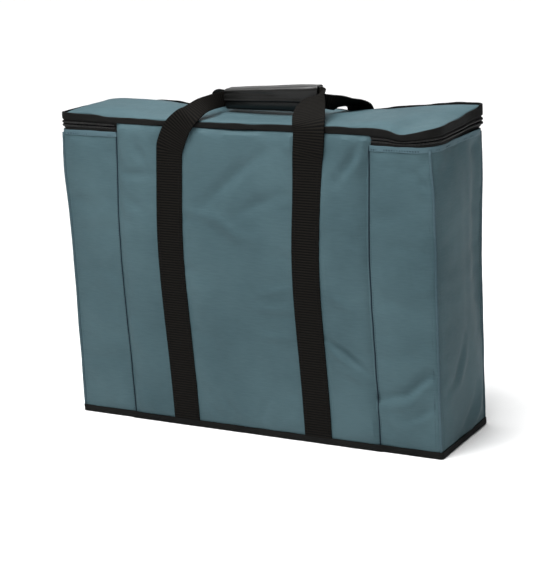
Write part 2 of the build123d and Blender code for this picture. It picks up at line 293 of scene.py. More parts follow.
# %% [markdown]
# The grip is wrapped in black vinyl, pressed with a fine leather grain: a cell pattern for the pebbles
# and a slow noise for the wear that dulls some patches. The zip's coil is bare nylon thread, and the
# sliders are painted metal, both smoother than cloth.


# %% Vinyl, nylon, thread and metal
def smooth_finish(name, dark, light, grain, relief, roughness, metallic=0.0, gloss=0.5):
    """A moulded or painted surface with a pebble grain and patches of wear."""
    finish, tree, shader = start_finish(name)
    place = add_node(tree, "ShaderNodeTexCoord").outputs["Object"]
    wear = add_node(tree, "ShaderNodeTexNoise", {"Scale": 35.0, "Detail": 4.0}, {"Vector": place})
    tree.links.new(two_tones(tree, wear.outputs["Fac"], dark, light), shader.inputs["Base Color"])
    pebble = add_node(
        tree, "ShaderNodeTexVoronoi", {"Scale": 1 / grain, "Randomness": 1.0}, {"Vector": place}
    )
    height = pebble.outputs["Distance"]
    bump = add_node(
        tree, "ShaderNodeBump", {"Strength": 0.5, "Distance": relief}, {"Height": height}
    )
    tree.links.new(bump.outputs["Normal"], shader.inputs["Normal"])
    rough = add_node(
        tree,
        "ShaderNodeMapRange",
        {"To Min": roughness - 0.06, "To Max": roughness + 0.1},
        {"Value": wear.outputs["Fac"]},
    )
    tree.links.new(rough.outputs["Result"], shader.inputs["Roughness"])
    shader.inputs["Metallic"].default_value = metallic
    shader.inputs["Specular IOR Level"].default_value = gloss
    return finish


# Embossed vinyl on the grip: near black, with soft highlights broken up by the grain.
grip_vinyl = smooth_finish(
    "black_grained_vinyl", "070706", "0e0e0d", 1.3 * MM, 0.10 * MM, 0.36, gloss=0.46
)
# Nylon monofilament of the zip's coil: small bright points on black.
coil_nylon = smooth_finish("black_coil_nylon", "101010", "1a1a1a", 0.6 * MM, 0.02 * MM, 0.38)
# Painted zinc of the sliders and pulls: the hardest and smoothest surface on the case.
slider_metal = smooth_finish(
    "black_painted_metal", "0d0d0e", "161617", 0.8 * MM, 0.02 * MM, 0.32, metallic=0.3
)
# Bonded nylon sewing thread, black on the straps and slate on the seams: dull and a little fuzzy.
black_thread = smooth_finish(
    "black_thread", "0b0a0a", "151413", 0.4 * MM, 0.05 * MM, 0.75, gloss=0.1
)
slate_thread = smooth_finish(
    "slate_thread", "33444c", "40525a", 0.4 * MM, 0.05 * MM, 0.7, gloss=0.1
)
# Hook and loop tape inside the grip: a deep, rough pile.
fuzzy_tape = smooth_finish("hook_and_loop_pile", "0a0a0a", "1c1c1c", 0.7 * MM, 0.35 * MM, 0.9)
# Matt paper under the case, without relief: it takes the shadow and nothing else.
floor_white = smooth_finish("white_floor_sheet", "fafafa", "fcfcfc", 4.0 * MM, 0.0, 0.9)
floor.data.materials.append(floor_white)
print("finishes:", len(bpy.data.materials))


# %% [markdown]
# ## Shaping helpers
# Each soft piece starts as a primitive, is cut into an even net of quads with bisect, and is then shaped.
# Selection is always made in code, by a rule on each vertex's or face's place, so the operators act only
# on what is meant.


# %% Helpers for modelling
def alone(piece):
    """Leaves only this piece selected and active, in object mode."""
    if bpy.context.object and bpy.context.object.mode != "OBJECT":
        bpy.ops.object.mode_set(mode="OBJECT")
    bpy.ops.object.select_all(action="DESELECT")
    piece.select_set(True)
    bpy.context.view_layer.objects.active = piece


def settle_place(piece):
    """Moves the object's place, turn and size into its mesh."""
    alone(piece)
    bpy.ops.object.transform_apply(location=True, rotation=True, scale=True)


def box_piece(name, low, high):
    """A cube primitive stretched between two corners, ready to be cut and shaped."""
    bpy.ops.object.select_all(action="DESELECT")
    middle = [(a + b) / 2 for a, b in zip(low, high)]
    bpy.ops.mesh.primitive_cube_add(size=1, location=middle)
    piece = bpy.context.object
    piece.name = name
    piece.scale = [b - a for a, b in zip(low, high)]
    settle_place(piece)
    return piece


def slab_piece(name, low, high, radius, segments, step, tube=False):
    """A box with rounded upright edges, cut into an even net in plan. A tube has no top or bottom."""
    piece = box_piece(name, low, high)
    round_uprights(piece, radius, segments)
    if tube:
        drop_faces(piece, lambda centre, normal: abs(normal.z) > 0.9)
    for axis in (0, 1):
        cut_across(piece, axis, evenly(low[axis] + radius, high[axis] - radius, step))
    return piece


def pick(piece, kind, rule):
    """In edit mode, selects the vertices, edges or faces whose middle passes a rule."""
    alone(piece)
    bpy.ops.object.mode_set(mode="EDIT")
    bpy.ops.mesh.select_mode(type=kind)
    bpy.ops.mesh.select_all(action="DESELECT")
    bpy.ops.object.mode_set(mode="OBJECT")
    mesh = piece.data
    things = {"VERT": mesh.vertices, "EDGE": mesh.edges, "FACE": mesh.polygons}[kind]
    count = 0
    for thing in things:
        if kind == "VERT":
            chosen = rule(thing.co)
        elif kind == "EDGE":
            a, b = (mesh.vertices[i].co for i in thing.vertices)
            chosen = rule(a, b)
        else:
            chosen = rule(thing.center, thing.normal)
        thing.select = bool(chosen)
        count += bool(chosen)
    bpy.ops.object.mode_set(mode="EDIT")
    return count


def done():
    """Back to object mode."""
    bpy.ops.object.mode_set(mode="OBJECT")


def round_uprights(piece, radius, segments):
    """Bevels the four upright edges."""
    pick(piece, "EDGE", lambda a, b: abs(a.x - b.x) + abs(a.y - b.y) < 1e-5)
    bpy.ops.mesh.bevel(offset=radius, segments=segments, affect="EDGES")
    done()


def drop_faces(piece, rule):
    """Deletes the faces that pass a rule."""
    if pick(piece, "FACE", rule):
        bpy.ops.mesh.delete(type="FACE")
    done()


def cut_across(piece, axis, places):
    """Cuts right through the piece at each place along an axis, so it has an even net."""
    alone(piece)
    bpy.ops.object.mode_set(mode="EDIT")
    normal = [float(i == axis) for i in range(3)]
    for place in places:
        bpy.ops.mesh.select_all(action="SELECT")
        bpy.ops.mesh.bisect(plane_co=[c * place for c in normal], plane_no=normal)
    bpy.ops.mesh.select_all(action="SELECT")
    bpy.ops.mesh.remove_doubles(threshold=1e-6)
    done()


def evenly(low, high, step):
    """Places between two ends, about a step apart, without the ends."""
    count = max(1, round((high - low) / step))
    return [low + (high - low) * i / count for i in range(1, count)]


def points_of(piece):
    """The mesh's points as an array."""
    flat = np.empty(len(piece.data.vertices) * 3, np.float32)
    piece.data.vertices.foreach_get("co", flat)
    return flat.reshape(-1, 3).astype(float)


def put_points(piece, points):
    """Writes an array of points back to the mesh."""
    piece.data.vertices.foreach_set("co", np.asarray(points, np.float32).ravel())
    piece.data.update()


def net_of(piece):
    """The mesh's points, and their three columns, which follow when the points are changed."""
    points = points_of(piece)
    return (points, *points.T)


def normals_of(piece):
    """The direction that the mesh faces at each point."""
    return np.array([vertex.normal for vertex in piece.data.vertices])


def lay(piece, *rules):
    """Passes the mesh's points through each rule in turn."""
    for rule in rules:
        put_points(piece, rule(points_of(piece)))


def add_modifier(piece, kind, **settings):
    """Adds one modifier, sets it and applies it."""
    alone(piece)
    modifier = piece.modifiers.new(kind.lower(), kind)
    for key, value in settings.items():
        setattr(modifier, key, value)
    bpy.ops.object.modifier_apply(modifier=modifier.name)


def smooth_step(value):
    """0 below 0, 1 above 1 and a soft rise between."""
    t = np.clip(value, 0, 1)
    return t * t * (3 - 2 * t)


def ripple(points, size, seed=0.0):
    """Smooth noise from -1 to 1 at each point, with lumps of about the given size."""
    shift = Vector((seed, seed * 0.7, -seed))
    return np.array([noise.noise(Vector(p) / size + shift) for p in points])


def finish_piece(piece, material, body, slot_name, *nodes):
    """Smooth shading, material, body and the CAD nodes that the piece stands for. The slot name is not
    used.
    """
    alone(piece)
    bpy.ops.object.shade_smooth()
    piece.data.materials.clear()
    piece.data.materials.append(material)
    if nodes:
        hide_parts(*nodes)
    if body:
        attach(piece, body)
    print(piece.name, len(piece.data.polygons), "faces")
    return piece


# %% [markdown]
# The mouth of a soft case never lies dead flat. One rule gives the height that the rim, the zip and the
# lid have lost or gained at each place, and every piece round the mouth uses it, so they stay together.


# %% The lie of the mouth
wall_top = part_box("back_panel")[1][2]
half_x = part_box("right_end_panel")[1][0]
half_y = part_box("back_panel")[1][1]
panel_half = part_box("front_center_panel")[1][0]
panel_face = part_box("front_center_panel")[0][1]
lid_low, lid_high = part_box("lid_cover")
hinge_z = lid_low[2]
strap_x = 105 * MM

# Places along X and the rise there, both in millimetres, for the front and the rear of the mouth.
front_run = [-280, -240, -190, -130, 0, 100, 150, 190, 203, 215, 222, 230, 241, 253, 268, 280]
front_lie = [2, 1, -1.5, -2.6, -2, -0.3, 0, -0.3, -1, -2.2, -4, -8.5, -8.5, -5.5, -2, 0]
rear_run = [-280, -220, -180, -145, -70, -35, 35, 62, 90, 125, 190, 225, 250, 280]
rear_lie = [-9, -8, -8, -10, -7, -2.5, -2.5, -6, -8, -5, -1, 3, 5, 6]


def soft_interp(x, run, lie):
    """Reads a table of millimetres at each x in metres, rounded over a centimetre."""
    shifts = np.linspace(-5, 5, 7)
    return sum(np.interp(x * 1000 + d, run, lie) for d in shifts) / len(shifts) * MM


def mouth_lie(points):
    """The points, with the dips and rises of the case's mouth. The band above the walls takes it up."""
    x, y, z = points.T
    high = np.clip((z - wall_top) / (24 * MM), 0, 1)
    front = smooth_step((0.02 - y) / 0.08) * soft_interp(x, front_run, front_lie)
    rear = smooth_step((y - 0.01) / 0.06) * soft_interp(x, rear_run, rear_lie)
    moved = points.copy()
    moved[:, 2] = z + high * (front + rear)
    near_left = smooth_step((-x - 0.25) / 0.03) * smooth_step(-y / 0.07)
    far_right = smooth_step((x - 0.235) / 0.04) * smooth_step((y - 0.03) / 0.04)
    above = np.clip((z - wall_top + 2 * MM) / (6 * MM), 0, 1)
    moved[:, 0] += above * (5.5 * MM * far_right - 3.5 * MM * near_left)
    moved[:, 1] += above * 4.0 * MM * far_right
    return moved


# %% [markdown]
# A filled case has a belly: the front swells most a little above its middle, and leans to the left with
# it. The left end swells near its top, and the right rear corner leans out towards the mouth. The
# pieces below the mouth share this second rule.


# %% The belly of the case
belly, lean, end_swell = 7.5 * MM, 5.0 * MM, 5.0 * MM


def slant(x, z):
    """How far the right-hand strap strays to the left below its stitched top."""
    return 4 * MM * (x > 0) * smooth_step((0.385 - z) / 0.2)


def body_lie(points, strap_slant=False):
    """The points, with the belly of the front and the swell of the ends."""
    x, y, z = points.T
    share = z / wall_top
    profile = smooth_step(share / 0.62) * smooth_step((1.08 - share) / 0.46)
    reach = smooth_step((half_x + 5 * MM - np.abs(x)) / 0.15) * smooth_step((-0.055 - y) / 0.015)
    moved = points.copy()
    moved[:, 1] -= belly * profile * reach
    moved[:, 0] -= lean * profile * reach
    if strap_slant:
        moved[:, 0] -= slant(x, z)
    left = smooth_step((-x - 0.262) / 0.015) * np.exp(-(((z - 0.372) / 0.07) ** 2))
    right = smooth_step((x - 0.262) / 0.015) * smooth_step((y + 0.02) / 0.08)
    moved[:, 0] += end_swell * (right * smooth_step((z - 0.24) / 0.15) - left)
    return moved


# %% [markdown]
# In plan the corners are not alike. Two rules draw a piece in to a rounded outline: one gives the radius
# of each corner at the mouth, and one moves the points that lie past that outline.


# %% The corners in plan
round_corner, tight_corner = 30 * MM, 11 * MM


def mouth_radius(points, extra=0.0):
    """The plan's corner radius at the mouth: the front right and rear left corners are the roundest."""
    return np.where(points[:, 0] * points[:, 1] < 0, round_corner, tight_corner) + extra


def hug_outline(points, reach_x, reach_y, radius):
    """Draws points that lie outside a rounded outline in to it. The radius may differ point by point."""
    sign = np.sign(points[:, :2])
    radius = np.broadcast_to(radius, len(points))[:, None]
    past = np.abs(points[:, :2]) - (np.array([reach_x, reach_y]) - radius)
    away = np.linalg.norm(np.clip(past, 0, None), axis=1, keepdims=True)
    corner = (past > 0).all(axis=1, keepdims=True) & (away > radius)
    drawn = np.where(corner, past * radius / np.maximum(away, 1e-9), past)
    moved = points.copy()
    moved[:, :2] = sign * (drawn + np.array([reach_x, reach_y]) - radius)
    return moved


# %% [markdown]
# Padded cloth is made by letting Blender's cloth solver blow the piece up a little against its own
# stitching. The stitched points are pinned, the cloth is given a little slack so that it wrinkles, and
# each point may move only so far, so the piece stays in its place.


# %% Blow up padded cloth
cloth_frames = 18
cloth_settings = {
    "quality": 5,
    "mass": 0.3,
    "tension_stiffness": 8.0,
    "compression_stiffness": 8.0,
    "shear_stiffness": 4.0,
    "bending_stiffness": 0.4,
    "air_damping": 4.0,
    "use_pressure": True,
}


def blow_up(piece, pinned, pressure, slack, cap):
    """Runs the cloth solver and writes its result to the mesh. Pinned is a mask, cap a length for each
    point. The pressure pushes outwards, and slack is the share by which the cloth may grow."""
    start = points_of(piece)
    group = piece.vertex_groups.new(name="sewn")
    group.add([int(i) for i in np.nonzero(pinned)[0]], 1.0, "REPLACE")
    cloth = piece.modifiers.new("cloth", "CLOTH")
    for key, value in cloth_settings.items():
        setattr(cloth.settings, key, value)
    cloth.settings.vertex_group_mass = "sewn"
    cloth.settings.uniform_pressure_force = pressure
    cloth.settings.shrink_min = -slack
    cloth.settings.effector_weights.gravity = 0.0
    cloth.collision_settings.use_collision = False
    cloth.point_cache.frame_start = 1
    cloth.point_cache.frame_end = cloth_frames
    for number in range(1, cloth_frames + 1):
        bpy.context.scene.frame_set(number)
    graph = bpy.context.evaluated_depsgraph_get()
    move = points_of(piece.evaluated_get(graph)) - start
    piece.modifiers.remove(cloth)
    piece.vertex_groups.remove(group)
    bpy.context.scene.frame_set(1)
    far = np.linalg.norm(move, axis=1)
    allowed = cap * np.tanh(far / cap)
    put_points(piece, start + move * (allowed / np.maximum(far, 1e-9))[:, None])
    print(piece.name, "swelled by up to", round(far.max() / MM, 1), "mm before the cap")


# %% [markdown]
# Cloth also folds where it is pulled. A crease is drawn as a broken line of places on a face, in
# millimetres, with a depth and a width. A positive depth is a valley and a negative one is a ridge.


# %% Crease cloth
def crease(across, high, width, *places):
    """1 along a line through places in millimetres, fading to 0 beside it and towards its ends."""
    spots = np.array(places) * MM
    lengths = np.linalg.norm(np.diff(spots, axis=0), axis=1)
    off, along, run = np.full(len(across), 9.0), np.zeros(len(across)), 0.0
    for start, end, length in zip(spots[:-1], spots[1:], lengths):
        way = (end - start) / length
        share = np.clip((across - start[0]) * way[0] + (high - start[1]) * way[1], 0, length)
        away = np.hypot(across - start[0] - share * way[0], high - start[1] - share * way[1])
        along = np.where(away < off, (run + share) / lengths.sum(), along)
        off = np.minimum(off, away)
        run += length
    return np.exp(-((off / (width * MM)) ** 2)) * np.sin(np.pi * np.clip(along, 0.12, 0.88))


def press(across, high, creases):
    """The depth of several creases together. Each one is a depth, a width and its places."""
    return sum(depth * MM * crease(across, high, width, *places) for depth, width, *places in creases)


# %% [markdown]
# ## The walls
# On the real case the walls are separate cloth panels over foam, joined at the upright corners. They are
# made here as one tube, because seen from outside they read as one skin that swells between its seams.
# The plan is nearly square at the foot and rounder at the mouth, where the zip draws the corners in.

# %% Build the wall skin
foot_radius = 6 * MM
wall_low, wall_high = (-half_x, -half_y, 1 * MM), (half_x, half_y, wall_top)
wall_step = 8 * MM
walls = slab_piece("wall_skin", wall_low, wall_high, foot_radius, 3, wall_step, tube=True)
cut_across(walls, 2, evenly(wall_low[2], wall_top, wall_step))


def wall_radius(points):
    """The plan's corner radius at each point: it opens over the top 70 mm."""
    opening = smooth_step((points[:, 2] - 0.34) / 0.07)
    return foot_radius + (mouth_radius(points) - 8 * MM) * opening


lay(walls, lambda points: hug_outline(points, half_x, half_y, wall_radius(points)))

# %% [markdown]
# The skin is sewn at the corners, along the foot and the hem, and behind the middle panel and the straps.
# Everything else may swell: the back most, and the ends more towards their tops.

# %% Swell the wall skin
points, x, y, z = net_of(walls)
at_front, at_back = y < -half_y + 1 * MM, y > half_y - 1 * MM
behind_panel = at_front & (np.abs(x) < panel_half + 5 * MM)
behind_strap = at_back & (np.abs(np.abs(x) - strap_x) < 20 * MM)
in_corner = (np.abs(x) > half_x - 9 * MM) & (np.abs(y) > half_y - 9 * MM)
near_edge = (z < 12 * MM) | (z > wall_top - 9 * MM)
fixed = behind_panel | behind_strap | in_corner | near_edge
tall = smooth_step((z - 0.05) / 0.28)
wall_cap = np.where(at_front, 4.5 * MM, np.where(at_back, 7 * MM, 3 * MM + 6 * MM * tall))
blow_up(walls, fixed, pressure=3.0, slack=0.012, cap=wall_cap)

# %% [markdown]
# Soft folds are pressed into the skin after it has swollen: broad waves, short puckers that run down
# from the hem, and two long upright folds on each end, the deeper one near the back edge.

# %% Press soft folds into the walls
points, x, y, z = net_of(walls)
folds = 1.6 * MM * ripple(points * np.array([1.0, 1.0, 0.35]), 0.05, 3.1)
folds += 0.45 * MM * ripple(points * np.array([1.6, 1.6, 1.0]), 0.018, 7.7)
hem_zone = smooth_step((z - 0.352) / 0.05)
folds += 0.9 * MM * hem_zone * ripple(points * np.array([1.0, 1.0, 0.12]), 0.011, 1.3)
on_end = np.abs(x) > half_x - 4 * MM
deep_line = 0.046 + 0.05 * (0.3 - z) * (z < 0.3)
deep_fold = 6.5 * MM * np.exp(-(((y - deep_line) / 0.018) ** 2)) * smooth_step((z - 0.06) / 0.2)
slim_fold = 1.2 * MM * np.exp(-(((y - 0.010) / 0.009) ** 2)) * smooth_step(z / 0.2)
folds -= np.where(on_end, deep_fold + slim_fold, 0)
put_points(walls, body_lie(points + normals_of(walls) * (folds * ~fixed)[:, None]))
add_modifier(walls, "SUBSURF", levels=1, render_levels=1)

# %% [markdown]
# The main creases come last, on the finer net: a pinch above the foot beside the middle panel, a few
# lines near the front corner, and the drag lines that cross the ends. Each row gives a depth, a width
# and places across and up the face.

# %% Crease the walls
front_creases = [
    (5.1, 6, (285, 109), (266, 114), (248, 99), (235, 86), (193, 75)),
    (-3.0, 6, (285, 97), (267, 101), (251, 84), (238, 71), (196, 62)),
    (2.7, 5, (255, 377), (272, 354)),
    (-1.5, 5, (250, 372), (266, 350)),
    (-1.8, 6, (282, 230), (248, 221)),
    (2.4, 7, (235, 50), (273, 72)),
    (-1.8, 6, (233, 37), (273, 61)),
]
end_creases = [
    (-3.2, 7, (60, 67), (55, 44), (39, 23), (7, 4)),
    (2.4, 7, (42, 72), (34, 49), (15, 31), (-17, 13)),
    (2.2, 7, (-2, 148), (-10, 123), (-28, 97), (-56, 86)),
    (-1.6, 6, (12, 144), (3, 116), (-15, 88), (-46, 78)),
]
points, x, y, z = net_of(walls)
normals = normals_of(walls)
inner = smooth_step((half_x - 3 * MM - np.abs(x)) / (6 * MM))
points[:, 1] += np.where(normals[:, 1] < -0.8, press(x, z, front_creases) * inner, 0)
inner = smooth_step((half_y - 3 * MM - np.abs(y)) / (9 * MM))
pressed = press(y, z, end_creases) * inner
points[:, 0] -= np.sign(x) * np.where(np.abs(normals[:, 0]) > 0.8, pressed, 0)
put_points(walls, points)
add_modifier(walls, "SOLIDIFY", thickness=1 * MM, offset=-1.0)
wall_nodes = [f"{name}_panel" for name in ("front_left", "front_right", "back", "left_end", "right_end")]
finish_piece(walls, shell_cloth, "case", "shell_fabric", *wall_nodes)

# %% [markdown]
# ## The middle panel
# The middle of the front is a second padded panel, sewn over the first. It stands a little proud, a dark
# strip of painted shade marks each side edge, and the straps hold it down, so it swells between them.

# %% Build the middle panel
panel_foot, panel_top = 8 * MM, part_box("front_center_panel")[1][2]
panel_low = (-panel_half, panel_face + 0.2 * MM, panel_foot)
panel = box_piece("front_middle_panel", panel_low, (panel_half, -half_y + 2 * MM, panel_top))
panel_step = 7 * MM
cut_across(panel, 0, evenly(-panel_half, panel_half, panel_step))
cut_across(panel, 2, evenly(panel_foot, panel_top, panel_step))
points, x, y, z = net_of(panel)
strap_middle = strap_x - slant(x, z)
under_strap = np.abs(np.abs(x) - strap_middle) < 22.5 * MM
held = (y > panel_face + 1 * MM) | (z < 14 * MM) | (under_strap & (z < 0.388))
panel_cap = np.where(under_strap, 0.5 * MM, 4.2 * MM)
blow_up(panel, held, pressure=4.0, slack=0.014, cap=panel_cap)

# %% [markdown]
# Its folds run aslant, from upper left to lower right, and stay low beside the straps. Near its edges the
# panel turns in towards the seam.

# %% Press soft folds into the panel
points, x, y, z = net_of(panel)
out = (y < panel_face + 1.5 * MM) & ~held
slanted = points @ np.array([[0.8, 0, -0.55], [0, 1, 0], [0.5, 0, 0.8]])
folds = 2.0 * MM * ripple(slanted * np.array([1.0, 0, 0.28]), 0.04, 5.5)
folds += 0.5 * MM * ripple(points * np.array([1.3, 0, 1.0]), 0.02, 2.2)
hem_zone = smooth_step((z - 0.36) / 0.05)
folds += 0.9 * MM * hem_zone * ripple(points * np.array([1, 0, 0.2]), 0.014, 9.0)
edge = smooth_step((panel_half - np.abs(x)) / (7 * MM))
top_edge = smooth_step((panel_top - z) / (7 * MM))
strap_near = smooth_step((np.abs(np.abs(x) - strap_middle) - 18 * MM) / (9 * MM))
folds = np.where((z < 0.39) & (folds > 0), folds * strap_near, folds)
points[:, 1] -= np.where(out, folds * edge * top_edge, 0)
turned_in = (1 - edge) ** 2 * 1.6 * MM + (1 - top_edge) * 1.2 * MM
points[:, 1] += np.where(y < panel_face + 1.5 * MM, turned_in, 0)
corner_pull = smooth_step((x - 0.165) / 0.026) * smooth_step((z - 0.402) / 0.02)
points[:, 0] += 5 * MM * corner_pull
put_points(panel, mouth_lie(body_lie(points)))
add_modifier(panel, "BEVEL", width=0.8 * MM, segments=2, limit_method="ANGLE")
add_modifier(panel, "SUBSURF", levels=1, render_levels=1)

# %% [markdown]
# The panel's creases are set out like those of the walls. A ridge fades out beside a strap, because the
# webbing would lie on it.

# %% Crease the panel
panel_creases = [
    (4.9, 7, (181, 418), (165, 391), (146, 364)),
    (-2.3, 7, (194, 414), (179, 390), (160, 366)),
    (4.2, 5, (117, 151), (146, 136), (171, 116), (184, 107)),
    (-3.0, 5, (116, 143), (144, 127), (169, 108), (183, 99)),
    (-2.7, 5, (142, 113), (183, 91)),
    (-2.3, 6, (131, 210), (162, 196)),
    (4.2, 9, (43, 397), (6, 374), (-35, 338), (-64, 313)),
    (-3.0, 9, (-87, 314), (-30, 302), (-2, 282), (27, 280)),
    (3.0, 9, (68, 341), (29, 328), (-10, 305)),
    (3.4, 7, (-161, 401), (-145, 368)),
    (2.7, 6, (-191, 355), (-134, 358)),
    (2.3, 8, (-183, 325), (-148, 306)),
    (-1.9, 5, (30, 205), (74, 215)),
    (-2.1, 6, (17, 183), (74, 184)),
    (-1.9, 6, (23, 145), (74, 145)),
    (2.3, 6, (-40, 48), (-22, 21)),
    (2.3, 6, (33, 60), (11, 16)),
]
points, x, y, z = net_of(panel)
facing = normals_of(panel)[:, 1] < -0.7
pressed = press(x, z, panel_creases)
pressed *= smooth_step((panel_half - 3 * MM - np.abs(x + 3 * MM)) / (6 * MM))
middle = strap_x + 3 * MM - slant(x, z) - 3 * MM * (x > 0)
clear = smooth_step((np.abs(np.abs(x) - middle) - 19 * MM) / (8 * MM))
points[:, 1] += np.where(facing, np.where(pressed < 0, pressed * clear, pressed), 0)
put_points(panel, points)
finish_piece(panel, shell_cloth, "case", "shell_fabric", "front_center_panel")

# %% [markdown]
# The seam beside the panel gets a strip of painted shade: a dark strip a few millimetres wide that stands
# in for the shade in the seam's fold. It is kept as a piece so that the dark line is there from every side.

# %% Build the two painted shade strips
for side, side_name in ((-1, "left"), (1, "right")):
    middle = side * (panel_half + 0.8 * MM)
    edge = box_piece(
        f"panel_seam_shade_strip_{side_name}",
        (middle - 0.8 * MM, -half_y - 1.2 * MM, panel_foot),
        (middle + 0.8 * MM, -half_y + 1.5 * MM, wall_top + 1 * MM),
    )
    cut_across(edge, 2, evenly(panel_foot, wall_top, panel_step))
    points = points_of(edge)
    points[:, 0] += 0.5 * MM * ripple(points * np.array([0, 0, 1]), 0.03, side * 2.0)
    put_points(edge, body_lie(points))
    add_modifier(edge, "BEVEL", width=0.6 * MM, segments=2, limit_method="ANGLE")
    # Painted shade: the strip's dark cloth stands in for the shade in the seam's fold.
    finish_piece(edge, seam_shade_strip_cloth, "case", "lining_fabric")

# %% [markdown]
# ## Inside the case
# The inside is a black lined tub: a box with its top inset by the thickness of the padded wall and pushed
# down to the floor. It also stands for the foam and the board that the cloth hides.

# %% Build the lined tub
inner_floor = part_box("base_lining")[1][2]
wall_depth = half_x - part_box("base_lining")[1][0] + 1 * MM
skin = 1.3 * MM
tub_low, tub_high = (-half_x + skin, -half_y + skin, 2 * MM), (half_x - skin, half_y - skin, wall_top)
tub = box_piece("lined_tub", tub_low, tub_high)
pick(tub, "FACE", lambda centre, normal: normal.z > 0.9)
bpy.ops.mesh.inset(thickness=wall_depth - skin, depth=0)
bpy.ops.mesh.extrude_region_move(TRANSFORM_OT_translate={"value": (0, 0, inner_floor - wall_top)})
done()
round_uprights(tub, 4 * MM, 3)
cut_across(tub, 0, evenly(-half_x + 0.02, half_x - 0.02, 14 * MM))
cut_across(tub, 1, evenly(-half_y + 0.02, half_y - 0.02, 14 * MM))
cut_across(tub, 2, evenly(inner_floor + 4 * MM, wall_top - 4 * MM, 14 * MM))

# %% [markdown]
# The tub's outside follows the walls and is tucked in below the mouth, so that it never shows through
# them. Its inside gets the slow waves of a lining that is only held at its edges.

# %% Fit the tub to the walls
points, x, y, z = net_of(tub)
outside = (np.abs(x) > half_x - 5 * MM) | (np.abs(y) > half_y - 5 * MM)
radius = np.where(outside, wall_radius(points), 5 * MM)
outer_points = hug_outline(points, half_x - skin, half_y - skin, radius)
tuck = 1 - 8 * MM / half_x * smooth_step((wall_top - 8 * MM - z) / 0.012)
outer_points[:, 0] *= tuck
outer_points[:, 1] *= 1 - (1 - tuck) * 2
inside = (np.abs(x) < half_x - 8 * MM) & (np.abs(y) < half_y - 8 * MM)
points = np.where(inside[:, None], points, outer_points)
x, y, z = points.T
soft = inside & (z < wall_top - 6 * MM)
wave = 0.8 * MM * ripple(points * np.array([1, 1, 0.5]), 0.05, 4.4)
points[:, 0] += np.where(soft & (np.abs(x) > 0.26), wave, 0)
points[:, 1] += np.where(soft & (np.abs(y) > 0.058), wave, 0)
points[:, 2] += np.where(soft & (z < inner_floor + 2 * MM), np.abs(wave), 0)
put_points(tub, body_lie(points))
add_modifier(tub, "BEVEL", width=1.2 * MM, segments=2, limit_method="ANGLE")
walled = ("back", "left_end", "right_end", "base")
tub_nodes = [f"{name}_foam" for name in ("front_center", "front_left", "front_right", *walled)]
tub_nodes += [f"{name}_lining" for name in ("front", *walled)]
tub_nodes += ["rim_facing", "base_board"]
finish_piece(tub, lining_cloth, "case", "lining_fabric", *tub_nodes)

# %% [markdown]
# ## Bands round the case
# The foot binding, the hem, both zip tapes and the lid's binding are all bands that run round the same
# plan. One helper makes a band: a box with rounded uprights, opened top and bottom, cut into short
# lengths, and thickened.


# %% Helper for bands
def band_piece(name, outset, low, high, at_mouth, thickness, rows, wave_size, wave_depth, seed):
    """A band of cloth round the case, with a slight waviness, thickened inwards."""
    reach_x, reach_y = half_x + outset, half_y + outset
    radius = tight_corner if at_mouth else 5 * MM
    corners = (-reach_x, -reach_y, low), (reach_x, reach_y, high)
    band = slab_piece(name, *corners, radius, 6, 6 * MM, tube=True)
    cut_across(band, 0, (-panel_half, panel_half))
    cut_across(band, 2, evenly(low, high, (high - low) / rows))
    if at_mouth:
        lay(band, lambda points: hug_outline(points, reach_x, reach_y, mouth_radius(points, outset)))
    points, x, y, z = net_of(band)
    middle = 1 - ((z - low) / (high - low) * 2 - 1) ** 2
    wobble = wave_depth * ripple(points * np.array([1, 1, 0.6]), wave_size, seed)
    put_points(band, points + normals_of(band) * (wobble * (0.4 + 0.6 * middle))[:, None])
    add_modifier(band, "SOLIDIFY", thickness=thickness, offset=-1.0)
    return band


def open_front(piece, margin=0.0):
    """Removes the stretch of a band or a coil that would lie behind the middle panel."""
    reach = panel_half + margin
    drop_faces(
        piece, lambda centre, normal: abs(centre.x) < reach and centre.y < -half_y + 6 * MM
    )


def lift_edges(band, low, high, amount, seed):
    """Gives a band's two edges a slightly uneven run."""
    points, x, y, z = net_of(band)
    share = (z - low) / (high - low) * 2 - 1
    points[:, 2] += share * amount * ripple(points * np.array([1, 1, 0]), 0.022, seed)
    put_points(band, points)


# %% [markdown]
# The foot binding is folded grosgrain, sewn right round the bottom over the panels and the strap ends, so
# it bulges a little where it covers them. It is the part that meets the floor, so nothing goes below zero.

# %% Build the foot binding
foot_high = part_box("base_binding")[1][2]
foot_low = 0.2 * MM
foot = band_piece(
    "foot_binding",
    outset=2 * MM,
    low=foot_low,
    high=foot_high,
    at_mouth=False,
    thickness=2.6 * MM,
    rows=4,
    wave_size=0.02,
    wave_depth=0.7 * MM,
    seed=2.0,
)
lift_edges(foot, foot_low, foot_high, 0.5 * MM, 6.0)
points, x, y, z = net_of(foot)
covers = (y < -half_y - 1 * MM) & (np.abs(x) < panel_half + 3 * MM)
points[:, 1] -= np.where(covers, 1.6 * MM, 0)
points[:, 2] = np.clip(z, 0.1 * MM, None)
put_points(foot, points)
add_modifier(foot, "BEVEL", width=0.7 * MM, segments=2, limit_method="ANGLE")
finish_piece(foot, binding_cloth, "case", "binding_tape", "base_binding")

# %% [markdown]
# The base is one sheet of coarse cloth that bows up a little between its bound edges.

# %% Build the base
base_low, base_high = (-half_x, -half_y, 0.3 * MM), (half_x, half_y, 2 * MM)
base = slab_piece("base_skin", base_low, base_high, 5 * MM, 3, 14 * MM)
points, x, y, z = net_of(base)
rise = smooth_step((half_y - np.abs(y)) / 0.03) * smooth_step((half_x - np.abs(x)) / 0.03)
points[:, 2] += rise * (0.8 * MM + 0.6 * MM * ripple(points, 0.05, 8.0))
put_points(base, points)
add_modifier(base, "SUBSURF", levels=1, render_levels=1)
finish_piece(base, base_cloth, "case", "base_fabric", "base_panel")
